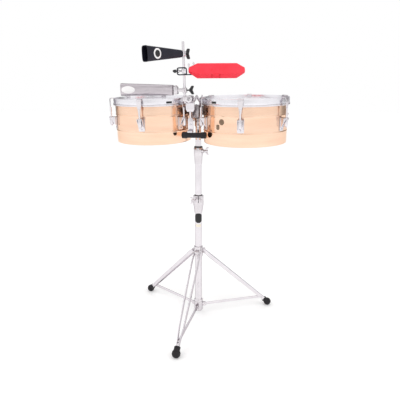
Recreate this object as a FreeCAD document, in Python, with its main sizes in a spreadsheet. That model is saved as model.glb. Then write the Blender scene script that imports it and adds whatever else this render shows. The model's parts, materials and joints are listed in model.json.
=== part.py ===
"""Timbales: two metal drums, two bells and a block on one folding tripod stand.

Millimetres, +Z up.  The floor is z = 0 and the origin lies under the middle of the whole
object's plan; the stand's axis is the vertical line at (axis_x, axis_y).  The line through the
two drums runs along X.  Each drum is drawn about its own axis with its mount towards +X, each
leg in the plane y = 0 of the stand's axis, and each accessory about its post.  Everything above
the tilter's pin is drawn level and then tilted by rest_tilt, the audience's side (-Y) lower.
"""
import FreeCAD, Part
import math
import os
import Sketcher

App = FreeCAD
doc = App.newDocument("timbales")
sheet = doc.addObject("Spreadsheet::Sheet", "sizes")
sub_parts = []


class Dim:
    """A length with its value in mm and the spreadsheet expression that it comes from."""

    def __init__(self, amount, text):
        self.amount = amount
        self.text = text

    def __add__(self, other):
        return Dim(self.amount + number(other), f"({self.text} + {term(other)})")

    __radd__ = __add__

    def __sub__(self, other):
        return Dim(self.amount - number(other), f"({self.text} - {term(other)})")

    def __rsub__(self, other):
        return Dim(number(other) - self.amount, f"({term(other)} - {self.text})")

    def __mul__(self, factor):
        return Dim(self.amount * factor, f"({self.text} * {factor})")

    __rmul__ = __mul__

    def __truediv__(self, factor):
        return Dim(self.amount / factor, f"({self.text} / {factor})")

    def __neg__(self):
        return Dim(-self.amount, f"(0 - {self.text})")


def number(dim):
    return dim.amount if isinstance(dim, Dim) else dim


def term(dim):
    return dim.text if isinstance(dim, Dim) else repr(float(dim))


SIZES = {
    # whole object
    "axis_x": -7.7, "axis_y": 84.85,
    # stand tubes
    "lower_tube_r": 15.9, "lower_tube_bore": 14.6, "lower_tube_base": 28.0, "lower_tube_top": 561.0,
    "middle_tube_r": 14.3, "middle_tube_bore": 13.0, "middle_tube_base": 335.0, "middle_tube_top": 786.5,
    "stem_r": 12.7, "stem_bore": 11.2, "stem_base": 627.0, "stem_top": 946.0,
    # bottom hub
    "hub_r": 20.0, "hub_base": 21.0, "hub_top": 86.0, "tube_fit": 0.05,
    "brace_pivot_r": 30.0, "brace_pivot_z": 53.5, "hub_ear": 4.0, "hub_ear_r": 9.0,
    "brace_width": 6.0, "brace_depth": 9.0, "brace_play": 0.4, "brace_open": 25.0,
    "pin_r": 3.0, "pin_play": 0.1,
    # leg collar and legs
    "collar_r": 20.5, "collar_base": 305.0, "collar_top": 355.0, "collar_bolt_z": 343.5, "slide_fit": 0.15,
    "leg_pivot_r": 27.0, "leg_pivot_z": 329.0, "leg_boss": 20.0, "leg_boss_r": 9.5,
    "strip_width": 5.0, "strip_depth": 13.0, "strip_play": 0.3, "strip_lead": 5.0,
    "strip_length": 432.0, "strip_foot_gap": 11.0, "rivet_head_r": 4.5, "rivet_head": 1.6,
    "foot_r": 17.0, "foot_reach": 370.0, "foot_height": 16.4, "sleeve_r": 13.3, "sleeve_gap": 0.3,
    "brace_joint_z": 51.0,
    # lower height clamp and its nylon bushing
    "clamp_base": 519.0, "clamp_shoulder": 553.0, "clamp_top": 601.0, "clamp_neck_r": 17.6,
    "clamp_r": 23.5, "bushing_r": 19.0, "bushing_top": 603.0, "clamp_bolt_z": 582.0,
    # upper clamp and its turning sleeve
    "upper_base": 747.0, "upper_shoulder": 781.0, "upper_top": 820.0, "upper_neck_r": 16.2,
    "upper_r": 20.5, "sleeve_outer": 16.6, "sleeve_flange_r": 18.6, "sleeve_flange": 5.5,
    "upper_bolt_z": 805.0,
    # tilter
    "tilt_z": 967.0, "rest_tilt": 4.3, "tilter_r": 16.0, "tilter_base": 913.0, "tilter_top": 950.0,
    "ear_half": 6.0, "ear_r": 12.0, "tilt_pin_r": 4.0, "ear_play": 0.4,
    # bridge between the drums
    "gap_left": 36.9, "gap_right": 28.6, "drum_offset_y": -10.0, "bridge_half": 17.0,
    "bridge_front": -47.0, "bridge_back": 26.0, "bridge_base": 955.0, "bridge_top": 1005.0,
    "drum_pin_r": 5.0, "drum_pin_z": 992.0, "drum_pin_half_pitch": 14.0, "drum_pin_grip": 8.0,
    "arm_x": -11.0, "arm_half": 7.0, "arm_base": 989.0, "arm_top": 1005.0,
    "plate_y": -106.0, "plate_thick": 6.0, "plate_half": 18.5, "plate_base": 985.5, "plate_top": 1025.5,
    "neck_r": 5.0, "hanger_half": 11.0, "hanger_top": 961.0, "hanger_base": 902.0,
    "bumper_y": -122.4, "bumper_z": 891.0, "bumper_r": 11.0, "bumper_end_r": 13.4,
    "bumper_left": -46.0, "bumper_right": 58.0, "bumper_end": 22.0,
    # accessory post and its clamp
    "post_x": -28.0, "post_y": -126.0, "post_r": 4.76, "post_base": 1021.0, "post_length": 237.0,
    "post_block_base": 1028.3, "post_block_top": 1050.0, "post_lean": 0.75, "post_fit": 0.08,
    "post_groove": 0.4, "post_groove_z": 205.0, "knob_height": 1039.0,
    # drums
    "shell_r_left": 165.1, "shell_r_right": 177.8, "shell_wall": 1.5, "shell_top": 1023.6,
    "shell_base": 853.0, "bead_high": 971.5, "bead_low": 905.0, "bead_half": 4.5, "bead_rise": 1.6,
    "bead_crest": 1.5, "head_z": 1023.9, "head_film": 1.0, "head_skirt": 1012.5, "hoop_inner": 2.0,
    "hoop_outer": 8.0, "hoop_base": 1010.5, "hoop_top": 1017.2, "rim_inner": 4.0, "rim_wall": 2.5,
    "rim_base": 1017.5, "rim_top": 1040.0,
    "lug_half": 15.0, "lug_base": 911.0, "shelf_z": 963.5, "shelf": 3.5, "shelf_reach": 30.0,
    "shelf_half": 12.0, "lug_plate": 3.0, "gusset": 2.5, "gusset_drop": 40.0,
    "rod_offset": 22.0, "rod_r": 4.0, "rod_base": 926.0, "rod_hole": 0.25, "nut_r": 8.0,
    "nut_base": 930.0, "nut_play": 0.2, "claw_half": 13.0, "claw_plate": 2.5, "claw_lip": 2.5,
    "claw_drop": 1019.0, "strap_half": 7.5, "strap": 5.0, "strap_base": 1000.0,
    "socket_half": 24.0, "socket_plate": 4.0, "socket_base": 964.0, "socket_top": 1001.5,
    "socket_play": 0.4, "drum_pin_play": 0.06,
    # accessories, heights up the post from its base
    "low_bell_z": 51.7, "block_z": 126.1, "high_bell_z": 190.6,
    "high_bell_length": 185.0, "high_bell_start": 9.0, "low_bell_length": 222.0, "low_bell_start": 46.6,
    "bell_wall": 2.0, "clamp_half": 9.0, "clamp_height": 20.0, "wing": 4.0,
    "block_start": 18.3, "block_length": 224.2, "block_height": 57.5, "block_depth": 44.0,
    "block_slot": 11.0, "block_slot_length": 150.0, "block_slot_depth": 34.0,
}
for row, (alias, amount) in enumerate(SIZES.items(), 1):
    sheet.set(f"A{row}", alias)
    sheet.set(f"B{row}", str(amount))
    sheet.setAlias(f"B{row}", alias)
doc.recompute()
size = {alias: Dim(amount, f"sizes.{alias}") for alias, amount in SIZES.items()}


# ---- drawing helpers ---------------------------------------------------------------------

def link(obj, prop, dim):
    """Set a size, and bind it to the sheet when it comes from there."""
    if "." not in prop:
        setattr(obj, prop, number(dim))
    if isinstance(dim, Dim):
        obj.setExpression(prop, dim.text)


def put(obj, x=0, y=0, z=0, turn=None):
    """Place an object; a coordinate that is a Dim stays bound to the sheet."""
    spot = App.Vector(number(x), number(y), number(z))
    obj.Placement = App.Placement(spot, turn or App.Rotation())
    for name, dim in (("x", x), ("y", y), ("z", z)):
        if isinstance(dim, Dim):
            obj.setExpression(f"Placement.Base.{name}", dim.text)
    return obj


def about(axis, degrees):
    return App.Rotation(App.Vector(*axis), degrees)


X_AXIS, Y_AXIS, Z_AXIS = (1, 0, 0), (0, 1, 0), (0, 0, 1)
ALONG = {"x": about(Y_AXIS, 90), "y": about(X_AXIS, -90), "z": App.Rotation()}


def box(x0, x1, y0, y1, z0, z1):
    obj = doc.addObject("Part::Box", "block")
    link(obj, "Length", x1 - x0)
    link(obj, "Width", y1 - y0)
    link(obj, "Height", z1 - z0)
    return put(obj, x0, y0, z0)


def rod(radius, height, x=0, y=0, z=0, along="z"):
    obj = doc.addObject("Part::Cylinder", "rod")
    link(obj, "Radius", radius)
    link(obj, "Height", height)
    return put(obj, x, y, z, ALONG[along])


def hexagon(radius, height, x, z):
    obj = doc.addObject("Part::Prism", "hexagon")
    obj.Polygon = 6
    link(obj, "Circumradius", radius)
    link(obj, "Height", height)
    return put(obj, x, 0, z)


def ball(radius, x, y, z):
    obj = doc.addObject("Part::Sphere", "ball")
    link(obj, "Radius", radius)
    return put(obj, x, y, z)


def fuse(*pieces):
    obj = doc.addObject("Part::MultiFuse", "joined")
    obj.Shapes = list(pieces)
    return obj


def cut(base, *tools):
    obj = doc.addObject("Part::Cut", "cut")
    obj.Base = base
    obj.Tool = tools[0] if len(tools) == 1 else fuse(*tools)
    return obj


def group(pieces):
    obj = doc.addObject("Part::Compound", "group")
    obj.Links = list(pieces)
    return obj


def turned(piece, degrees):
    """A piece drawn towards +X, turned about Z."""
    holder = doc.addObject("Part::Compound", "turned")
    holder.Links = [piece]
    holder.Placement = App.Placement(App.Vector(), about(Z_AXIS, degrees))
    return holder


def keep(obj, label, x=0, y=0, z=0, turn=None):
    """Name a finished sub-part and place it from the stand's axis."""
    obj = held(obj)
    obj.Label = label
    put(obj, size["axis_x"] + x, size["axis_y"] + y, z, turn)
    sub_parts.append(obj)
    return obj


def held(obj):
    """A primitive keeps its own place inside a group."""
    return group([obj]) if obj.isDerivedFrom("Part::Primitive") else obj


def keep_tilted(obj, label, x=0, y=0, z=0, turn=None):
    """Keep a sub-part that is drawn level and tilts with the drums about the tilter's pin."""
    level = put(held(obj), x, y, z - size["tilt_z"], turn)
    keep(group([level]), label, 0, 0, size["tilt_z"], about(X_AXIS, SIZES["rest_tilt"]))


def plane_of(body, role):
    return next(item for item in body.Origin.OriginFeatures if item.Role == role)


def sketch_on(body, role, corners, offset=None):
    """A closed outline of straight sides, each corner held from the sketch's origin."""
    sketch = body.newObject("Sketcher::SketchObject", "outline")
    sketch.AttachmentSupport = [(plane_of(body, role), "")]
    sketch.MapMode = "FlatFace"
    if offset is not None:
        sketch.AttachmentOffset = App.Placement(App.Vector(0, 0, number(offset)), App.Rotation())
        link(sketch, "AttachmentOffset.Base.z", offset)
    spots = [App.Vector(number(u), number(v), 0) for u, v in corners]
    for start, end in zip(spots, spots[1:] + spots[:1]):
        sketch.addGeometry(Part.LineSegment(start, end))
    for side, corner in enumerate(corners):
        sketch.addConstraint(Sketcher.Constraint("Coincident", side, 2, (side + 1) % len(corners), 1))
        for kind, dim in zip(("DistanceX", "DistanceY"), corner):
            held = sketch.addConstraint(Sketcher.Constraint(kind, side, 1, number(dim)))
            if isinstance(dim, Dim):
                sketch.setExpression(f"Constraints[{held}]", dim.text)
    return sketch


def spun(corners):
    """A body of revolution about Z; corners are (radius, height)."""
    body = doc.addObject("PartDesign::Body", "spun")
    sketch = sketch_on(body, "XZ_Plane", corners)
    turn = body.newObject("PartDesign::Revolution", "turn")
    turn.Profile = sketch
    turn.ReferenceAxis = (sketch, ["V_Axis"])
    turn.Angle = 360
    return body


def padded(corners, width):
    """An outline of (x, z) corners given a width, centred on y = 0."""
    body = doc.addObject("PartDesign::Body", "padded")
    pad = body.newObject("PartDesign::Pad", "pad")
    pad.Profile = sketch_on(body, "XZ_Plane", corners)
    link(pad, "Length", width)
    pad.Midplane = True
    return body


def ring(inner, outer, base, top):
    return spun([(inner, base), (outer, base), (outer, top), (inner, top)])


def wing_bolt(shaft_r, shaft_length, hub_r, hub_length, span, wing_height):
    """A wing bolt along +Z: its shaft's end at the origin, then hub and two wings."""
    shaft = rod(shaft_r, shaft_length + 1)
    hub = rod(hub_r, hub_length, 0, 0, shaft_length)
    wing_base = shaft_length + hub_length * 0.35
    half_wing = size["wing"] / 2
    wings = box(-span / 2, span / 2, -half_wing, half_wing, wing_base, wing_base + wing_height)
    return fuse(shaft, hub, wings)


def facing(direction):
    """The rotation that takes +Z to a direction."""
    return App.Rotation(App.Vector(0, 0, 1), App.Vector(*direction))


# ---- stand: tubes, bottom hub and lower clamp ---------------------------------------------

LEG_AZIMUTHS = (-92.7, 27.3, 147.3)
CLAMP_TURN = 11.4
BOLT_TURN = about(Z_AXIS, CLAMP_TURN)


def stand_base():
    tube_r = size["lower_tube_r"]
    fit = size["tube_fit"]
    keep(ring(size["lower_tube_bore"], tube_r, size["lower_tube_base"], size["lower_tube_top"]),
         "lower_tube")

    hub_r = size["hub_r"]
    core = spun([(0, size["hub_base"]), (hub_r * 0.55, size["hub_base"]),
                 (hub_r, size["hub_base"] + 8), (hub_r, size["hub_top"] - 3),
                 (hub_r - 3, size["hub_top"]), (tube_r + fit, size["hub_top"]),
                 (tube_r + fit, size["lower_tube_base"]), (0, size["lower_tube_base"])])
    half_slot = (size["brace_width"] + size["brace_play"]) / 2
    ears = []
    pins = []
    for azimuth in LEG_AZIMUTHS:
        ear_pair = []
        for side in (half_slot, -half_slot - size["hub_ear"]):
            round_end = rod(size["hub_ear_r"], size["hub_ear"], size["brace_pivot_r"], side,
                            size["brace_pivot_z"], "y")
            web = box(hub_r - 2.5, size["brace_pivot_r"], side, side + size["hub_ear"],
                      size["brace_pivot_z"] - size["hub_ear_r"], size["brace_pivot_z"] + size["hub_ear_r"])
            ear_pair += [round_end, web]
        half_pin = half_slot + size["hub_ear"] + 1.8
        bore = rod(size["pin_r"], half_pin * 2, size["brace_pivot_r"], -half_pin, size["brace_pivot_z"], "y")
        ears.append(turned(cut(fuse(*ear_pair), bore), azimuth))
        pins.append(turned(headed_pin(size["pin_r"], half_slot + size["hub_ear"],
                                      size["brace_pivot_r"], size["brace_pivot_z"]), azimuth))
    keep(fuse(core, *ears), "tube_bottom_hub")
    keep(group(pins), "hub_pins")

    outer = size["clamp_r"]
    seat_r = size["bushing_r"] + fit
    seat_z = size["lower_tube_top"] + 0.2
    housing = spun([(tube_r + fit, size["clamp_base"]), (size["clamp_neck_r"], size["clamp_base"]),
                    (outer - 1.5, size["clamp_shoulder"]), (outer, size["clamp_shoulder"] + 3),
                    (outer, size["clamp_top"] - 2), (outer - 2, size["clamp_top"]),
                    (seat_r, size["clamp_top"]), (seat_r, seat_z), (tube_r + fit, seat_z)])
    lug = box(-10, 10, -outer - 12, -outer + 2.5,
              size["clamp_bolt_z"] - 12, size["clamp_bolt_z"] + 12)
    slot = box(-1.5, 1.5, -outer - 13, -size["bushing_r"],
               size["clamp_bolt_z"] - 13, size["clamp_top"] + 1)
    bolt_way = rod(4.2, 24, -12, -outer - 6, size["clamp_bolt_z"], "x")
    keep(cut(fuse(housing, lug), slot, bolt_way), "height_clamp", turn=about(Z_AXIS, CLAMP_TURN))
    bushing = ring(size["middle_tube_r"] + 0.1, size["bushing_r"], seat_z + 0.2, size["bushing_top"])
    keep(bushing, "height_clamp_bushing")


def headed_pin(radius, half, x, z):
    """A hinge pin along Y through y = 0 with a low head at each end."""
    shank = rod(radius, half * 2 + 0.8, x, -half - 0.4, z, "y")
    heads = [rod(radius * 1.6, 1.6, x, side, z, "y") for side in (half + 0.2, -half - 1.8)]
    return fuse(shank, *heads)


def height_wing_bolt():
    """Crosses the clamp's lug; its wings stand at the left."""
    bolt = wing_bolt(4.0, 32, 6.5, 12, 34, 14)
    direction = BOLT_TURN.multVec(App.Vector(-1, 0, 0))
    start = BOLT_TURN.multVec(App.Vector(11.5, -(SIZES["clamp_r"] + 6), 0))
    keep(bolt, "height_wing_bolt", start.x, start.y, size["clamp_bolt_z"], facing(direction))


# ---- tripod ---------------------------------------------------------------------------------

COLLAR_BOLT_AZIMUTH = -32.7
COLLAR_BOLT_START = 27.0


def leg_collar():
    tube_r = size["lower_tube_r"]
    inner = tube_r + size["slide_fit"]
    outer = size["collar_r"]
    base, top = size["collar_base"], size["collar_top"]
    core = spun([(inner, base), (outer - 2, base), (outer, base + 2), (outer, top - 2), (outer - 2, top),
                 (inner, top)])
    half = size["leg_boss"] / 2
    pivot_r, pivot_z = size["leg_pivot_r"], size["leg_pivot_z"]
    bosses, pins = [], []
    for azimuth in LEG_AZIMUTHS:
        boss = fuse(rod(size["leg_boss_r"], half * 2, pivot_r, -half, pivot_z, "y"),
                    box(inner + 2.0, pivot_r, -half, half, pivot_z - size["leg_boss_r"],
                        pivot_z + size["leg_boss_r"]))
        bore = rod(size["pin_r"], half * 2 + 2, pivot_r, -half - 1, pivot_z, "y")
        bosses.append(turned(cut(boss, bore), azimuth))
        half_pin = half + size["strip_width"] + 0.9
        pins.append(turned(headed_pin(size["pin_r"], half_pin, pivot_r, pivot_z), azimuth))
    bolt_z = size["collar_bolt_z"]
    screw_boss = turned(box(18.5, COLLAR_BOLT_START, -8, 8, bolt_z - 10, bolt_z + 10), COLLAR_BOLT_AZIMUTH)
    keep(fuse(core, *bosses, screw_boss), "leg_collar")
    keep(group(pins), "leg_collar_pins")


def radial(azimuth, reach):
    angle = math.radians(azimuth)
    return reach * math.cos(angle), reach * math.sin(angle)


def collar_wing_bolt():
    x, y = radial(COLLAR_BOLT_AZIMUTH, COLLAR_BOLT_START + 0.3)
    keep(wing_bolt(3.5, 3, 6, 11, 32, 12), "leg_collar_wing_bolt", x, y, size["collar_bolt_z"],
         facing((*radial(COLLAR_BOLT_AZIMUTH, 1), 0)))


def leg_slope():
    """Angle of a leg below the horizontal, and its unit run and drop."""
    run = SIZES["foot_reach"] - SIZES["leg_pivot_r"]
    drop = SIZES["leg_pivot_z"] - SIZES["foot_height"]
    slope = math.atan2(drop, run)
    return slope, math.cos(slope), math.sin(slope)


def on_leg(distance):
    slope, run, drop = leg_slope()
    return SIZES["leg_pivot_r"] + distance * run, SIZES["leg_pivot_z"] - distance * drop


def brace_joint_distance():
    return (SIZES["leg_pivot_z"] - SIZES["brace_joint_z"]) / leg_slope()[2]


def leg_strips():
    """Two flat strips that close in towards the foot, drawn in the plane y = 0."""
    slope = math.degrees(leg_slope()[0])
    top_half = SIZES["leg_boss"] / 2 + SIZES["strip_play"]
    foot_half = SIZES["strip_foot_gap"] / 2 - SIZES["strip_width"] / 2 + 0.45
    closing = math.degrees(math.atan2(top_half - foot_half, SIZES["strip_length"]))
    joint_x, joint_z = on_leg(brace_joint_distance())
    strips = []
    for side in (1, -1):
        bar = doc.addObject("Part::Box", "strip")
        link(bar, "Length", size["strip_length"] + size["strip_lead"])
        link(bar, "Width", size["strip_width"])
        link(bar, "Height", size["strip_depth"])
        turn = about(Y_AXIS, slope) * about(Z_AXIS, -side * closing)
        inner_y = 0 if side > 0 else -SIZES["strip_width"]
        shift = turn.multVec(App.Vector(-SIZES["strip_lead"], inner_y, -SIZES["strip_depth"] / 2))
        start = App.Vector(SIZES["leg_pivot_r"], side * top_half, SIZES["leg_pivot_z"])
        bar.Placement = App.Placement(start + shift, turn)
        hole = rod(size["pin_r"] + size["pin_play"], 40, size["leg_pivot_r"], -20, size["leg_pivot_z"], "y")
        head_y = side * (foot_half + SIZES["strip_width"] - 0.6)
        head = rod(size["rivet_head_r"], size["rivet_head"] + 0.9, joint_x,
                   head_y if side > 0 else head_y - 2.5, joint_z, "y")
        strips.append(cut(fuse(bar, head), hole))
    return group(strips)


def foot():
    """A rubber ball with a flat tread and the sleeve that grips the two strips' ends."""
    slope = math.degrees(leg_slope()[0])
    centre_x, centre_z = SIZES["foot_reach"], SIZES["foot_height"]
    top_x, top_z = on_leg(SIZES["strip_length"] + SIZES["sleeve_gap"])
    length = math.hypot(centre_x - top_x, centre_z - top_z)
    sleeve = doc.addObject("Part::Cylinder", "sleeve")
    link(sleeve, "Radius", size["sleeve_r"])
    sleeve.Height = length
    sleeve.Placement = App.Placement(App.Vector(top_x, 0, top_z), about(Y_AXIS, 90 + slope))
    tread = ball(size["foot_r"], size["foot_reach"], 0, size["foot_height"])
    under = box(size["foot_reach"] - 40, size["foot_reach"] + 40, -40, 40, -20, 0)
    return cut(fuse(sleeve, tread), under)


def brace():
    """A bar from the bottom hub towards the rivet near the foot.

    That rivet is the pivot left open, so the bar stops short of it by brace_open.
    """
    start = (SIZES["brace_pivot_r"], SIZES["brace_pivot_z"])
    end = on_leg(brace_joint_distance())
    length = math.hypot(end[0] - start[0], end[1] - start[1])
    dip = math.degrees(math.atan2(start[1] - end[1], end[0] - start[0]))
    half_width = size["brace_width"] / 2
    half_depth = size["brace_depth"] / 2
    reach = length - size["brace_open"]
    bar = box(0, reach, -half_width, half_width, -half_depth, half_depth)
    eye = rod(half_depth + 1.5, half_width * 2, 0, -half_width, 0, "y")
    nose = rod(half_depth, half_width * 2, reach, -half_width, 0, "y")
    hole = rod(size["pin_r"] + size["pin_play"], 20, 0, -10, 0, "y")
    piece = cut(fuse(bar, eye, nose), hole)
    piece.Placement = App.Placement(App.Vector(start[0], 0, start[1]), about(Y_AXIS, dip))
    return group([piece])


def tripod():
    for leg, azimuth in enumerate(LEG_AZIMUTHS, 1):
        for name, piece in (("strips", leg_strips()), ("foot", foot()), ("brace", brace())):
            keep(piece, f"leg_{leg}_{name}", turn=about(Z_AXIS, azimuth))


# ---- mast and stem ----------------------------------------------------------------------------

UPPER_BOLT_AZIMUTH = -12.0
UPPER_BOLT_START = 28.0


def mast():
    fit = size["tube_fit"]
    tube_r = size["middle_tube_r"]
    tube_top = size["middle_tube_top"]
    keep(ring(size["middle_tube_bore"], tube_r, size["middle_tube_base"], tube_top), "middle_tube")
    outer = size["upper_r"]
    core = spun([(tube_r + fit, size["upper_base"]), (size["upper_neck_r"], size["upper_base"]),
                 (outer - 1.5, size["upper_shoulder"]), (outer, size["upper_shoulder"] + 3),
                 (outer, size["upper_top"] - 2), (outer - 2, size["upper_top"]),
                 (size["sleeve_outer"] + 0.1, size["upper_top"]),
                 (size["sleeve_outer"] + 0.1, tube_top + 0.3), (tube_r + fit, tube_top + 0.3)])
    boss = turned(box(18.5, UPPER_BOLT_START, -9, 9, size["upper_bolt_z"] - 11, size["upper_bolt_z"] + 11),
                  UPPER_BOLT_AZIMUTH)
    keep(fuse(core, boss), "upper_clamp")
    x, y = radial(UPPER_BOLT_AZIMUTH, UPPER_BOLT_START + 0.3)
    keep(wing_bolt(3.5, 4, 6.5, 13, 36, 14), "upper_wing_bolt", x, y, size["upper_bolt_z"],
         facing((*radial(UPPER_BOLT_AZIMUTH, 1), 0)))
    bore = size["stem_r"] + 0.1
    top = size["upper_top"] + 0.3
    keep(spun([(bore, tube_top + 0.6), (size["sleeve_outer"], tube_top + 0.6),
               (size["sleeve_outer"], top), (size["sleeve_flange_r"], top),
               (size["sleeve_flange_r"], top + size["sleeve_flange"]), (bore, top + size["sleeve_flange"])]),
         "upper_clamp_sleeve")


def stem():
    keep(ring(size["stem_bore"], size["stem_r"], size["stem_base"], size["stem_top"]), "stem_tube")
    fit = size["tube_fit"]
    outer = size["tilter_r"]
    collar = spun([(size["stem_r"] + fit, size["tilter_base"]), (outer - 1, size["tilter_base"]),
                   (outer, size["tilter_base"] + 1), (outer, size["tilter_top"] - 2),
                   (outer - 2, size["tilter_top"]), (0, size["tilter_top"]), (0, size["stem_top"] + 0.2),
                   (size["stem_r"] + fit, size["stem_top"] + 0.2)])
    half = size["ear_half"]
    ear = fuse(box(-half, half, -size["ear_r"], size["ear_r"], size["tilter_top"] - 1, size["tilt_z"]),
               rod(size["ear_r"], half * 2, -half, 0, size["tilt_z"], "x"))
    pin_low = BRIDGE_X - SIZES["bridge_half"] + 1.0
    pin = rod(size["tilt_pin_r"], 2 * SIZES["bridge_half"] - 2.0, pin_low, 0, size["tilt_z"], "x")
    keep(fuse(collar, ear, pin), "tilter_head")


# ---- bridge between the drums -------------------------------------------------------------------

BRIDGE_X = (SIZES["gap_right"] - SIZES["gap_left"]) / 2
TILT_BOLT_Y, TILT_BOLT_RISE = 14.0, 6.0
DRUM_LOCKS = {"left": (-13.0, -34.0), "right": (5.6, 6.0)}


def bridge():
    middle_x = (size["gap_right"] - size["gap_left"]) / 2
    left = middle_x - size["bridge_half"]
    right = middle_x + size["bridge_half"]
    body = box(left, right, size["bridge_front"], size["bridge_back"],
               size["bridge_base"], size["bridge_top"])
    half_slot = size["ear_half"] + size["ear_play"]
    slot = box(-half_slot, half_slot, -22, 20, size["bridge_base"] - 1, size["tilt_z"] + size["ear_r"] + 2)
    tilt_bore = rod(size["tilt_pin_r"] + 0.08, 60, left - 5, 0, size["tilt_z"], "x")
    lock_bore = rod(4.2, 30, 0, 10, size["tilt_z"] + TILT_BOLT_RISE, "y")
    arm = box(size["arm_x"] - size["arm_half"], size["arm_x"] + size["arm_half"], size["plate_y"],
              size["bridge_front"] + 1, size["arm_base"], size["arm_top"])
    bores, pins = [], []
    for side_x, start in ((left, -1.0), (right, 1.0)):
        for step in (-1, 1):
            pin_y = size["drum_offset_y"] + step * size["drum_pin_half_pitch"]
            grip = size["drum_pin_grip"]
            reach = SIZES["gap_left"] + BRIDGE_X - SIZES["bridge_half"] - 1.8
            low = side_x - grip if start > 0 else side_x - reach
            bores.append(rod(size["drum_pin_r"], grip + 1, side_x - grip if start > 0 else side_x - 1,
                             pin_y, size["drum_pin_z"], "x"))
            pins.append(rod(size["drum_pin_r"], grip + reach, low, pin_y, size["drum_pin_z"], "x"))
    keep_tilted(cut(fuse(body, arm), slot, tilt_bore, lock_bore, *bores), "bridge_block")
    keep_tilted(group(pins), "drum_pins")

    plate_x = size["arm_x"]
    face = size["plate_y"]
    front = face - size["plate_thick"]
    keep_tilted(box(plate_x - size["plate_half"], plate_x + size["plate_half"], front, face,
                    size["plate_base"], size["plate_top"]), "front_plate")

    middle = face - size["plate_thick"] / 2
    neck_length = size["plate_base"] - size["hanger_top"] + 1
    neck = rod(size["neck_r"], neck_length, plate_x, middle, size["hanger_top"] - 1)
    hanger = box(plate_x - size["hanger_half"], plate_x + size["hanger_half"], front, face,
                 size["hanger_base"], size["hanger_top"])
    toe = box(plate_x - size["hanger_half"], plate_x + size["hanger_half"], size["bumper_y"] - 6, face,
              size["hanger_base"], size["hanger_base"] + 7)
    keep_tilted(fuse(neck, hanger, toe), "bumper_hanger")

    low, high = size["bumper_left"], size["bumper_right"]
    end_r, mid_r, end = size["bumper_end_r"], size["bumper_r"], size["bumper_end"]
    bar = spun([(0, low), (end_r - 4, low), (end_r, low + 4), (end_r, low + end - 6),
                (mid_r, low + end), (mid_r, high - end),
                (end_r, high - end + 6), (end_r, high - 4), (end_r - 4, high), (0, high)])
    keep_tilted(bar, "bumper_bar", 0, size["bumper_y"], size["bumper_z"], ALONG["x"])

    for name, (x, y) in DRUM_LOCKS.items():
        keep_tilted(wing_bolt(3.0, 14, 5.5, 14, 28, 26), f"{name}_drum_lock", x, y, size["bridge_top"] + 0.3)
    keep_tilted(wing_bolt(4.0, 24, 6.5, 12, 36, 14), "tilt_wing_bolt", 0, TILT_BOLT_Y,
                size["tilt_z"] + TILT_BOLT_RISE, facing((0, 1, 0)))


# ---- accessory post ---------------------------------------------------------------------------

def lean():
    """The post leans a little to the left."""
    return about(Y_AXIS, -SIZES["post_lean"])


def on_post(height):
    """A point on the leaning post, from the stand's axis."""
    up = lean().multVec(App.Vector(0, 0, height))
    return SIZES["post_x"] + up.x, SIZES["post_y"] + up.y, SIZES["post_base"] + up.z


def accessory_post():
    outer, groove = size["post_r"], size["post_groove_z"]
    waist = outer - size["post_groove"]
    post = spun([(0, 0), (outer - 1, 0), (outer, 1), (outer, groove), (waist, groove), (waist, groove + 1),
                 (outer, groove + 1), (outer, size["post_length"] - 1), (outer - 1, size["post_length"]),
                 (0, size["post_length"])])
    keep_tilted(post, "accessory_post", size["post_x"], size["post_y"], size["post_base"], lean())

    bore = rod(size["post_r"] + size["post_fit"], 60)
    bore.Placement = App.Placement(App.Vector(*on_post(-5)), lean())
    grip = box(-37, 3, -136, -116, size["post_block_base"], size["post_block_top"])
    saddle = box(-26, 3, -117, size["plate_y"], size["post_block_base"], size["post_block_top"])
    saw_cut = box(-28, 4, -127, -125, size["post_block_base"] - 1, size["post_block_top"] + 1)
    screw_way = rod(3.2, 20, -9, -137, size["knob_height"], "y")
    keep_tilted(cut(fuse(grip, saddle), bore, saw_cut, screw_way), "post_clamp")
    knob = fuse(rod(3.0, 12), rod(14.5, 9, 0, 0, 11.5))
    keep_tilted(knob, "post_clamp_knob", -9, -124.5, size["knob_height"], facing((0, -1, 0)))


# ---- drums --------------------------------------------------------------------------------------

LUG_ANGLES = (-150, -90, -30, 30, 90, 150)


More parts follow.
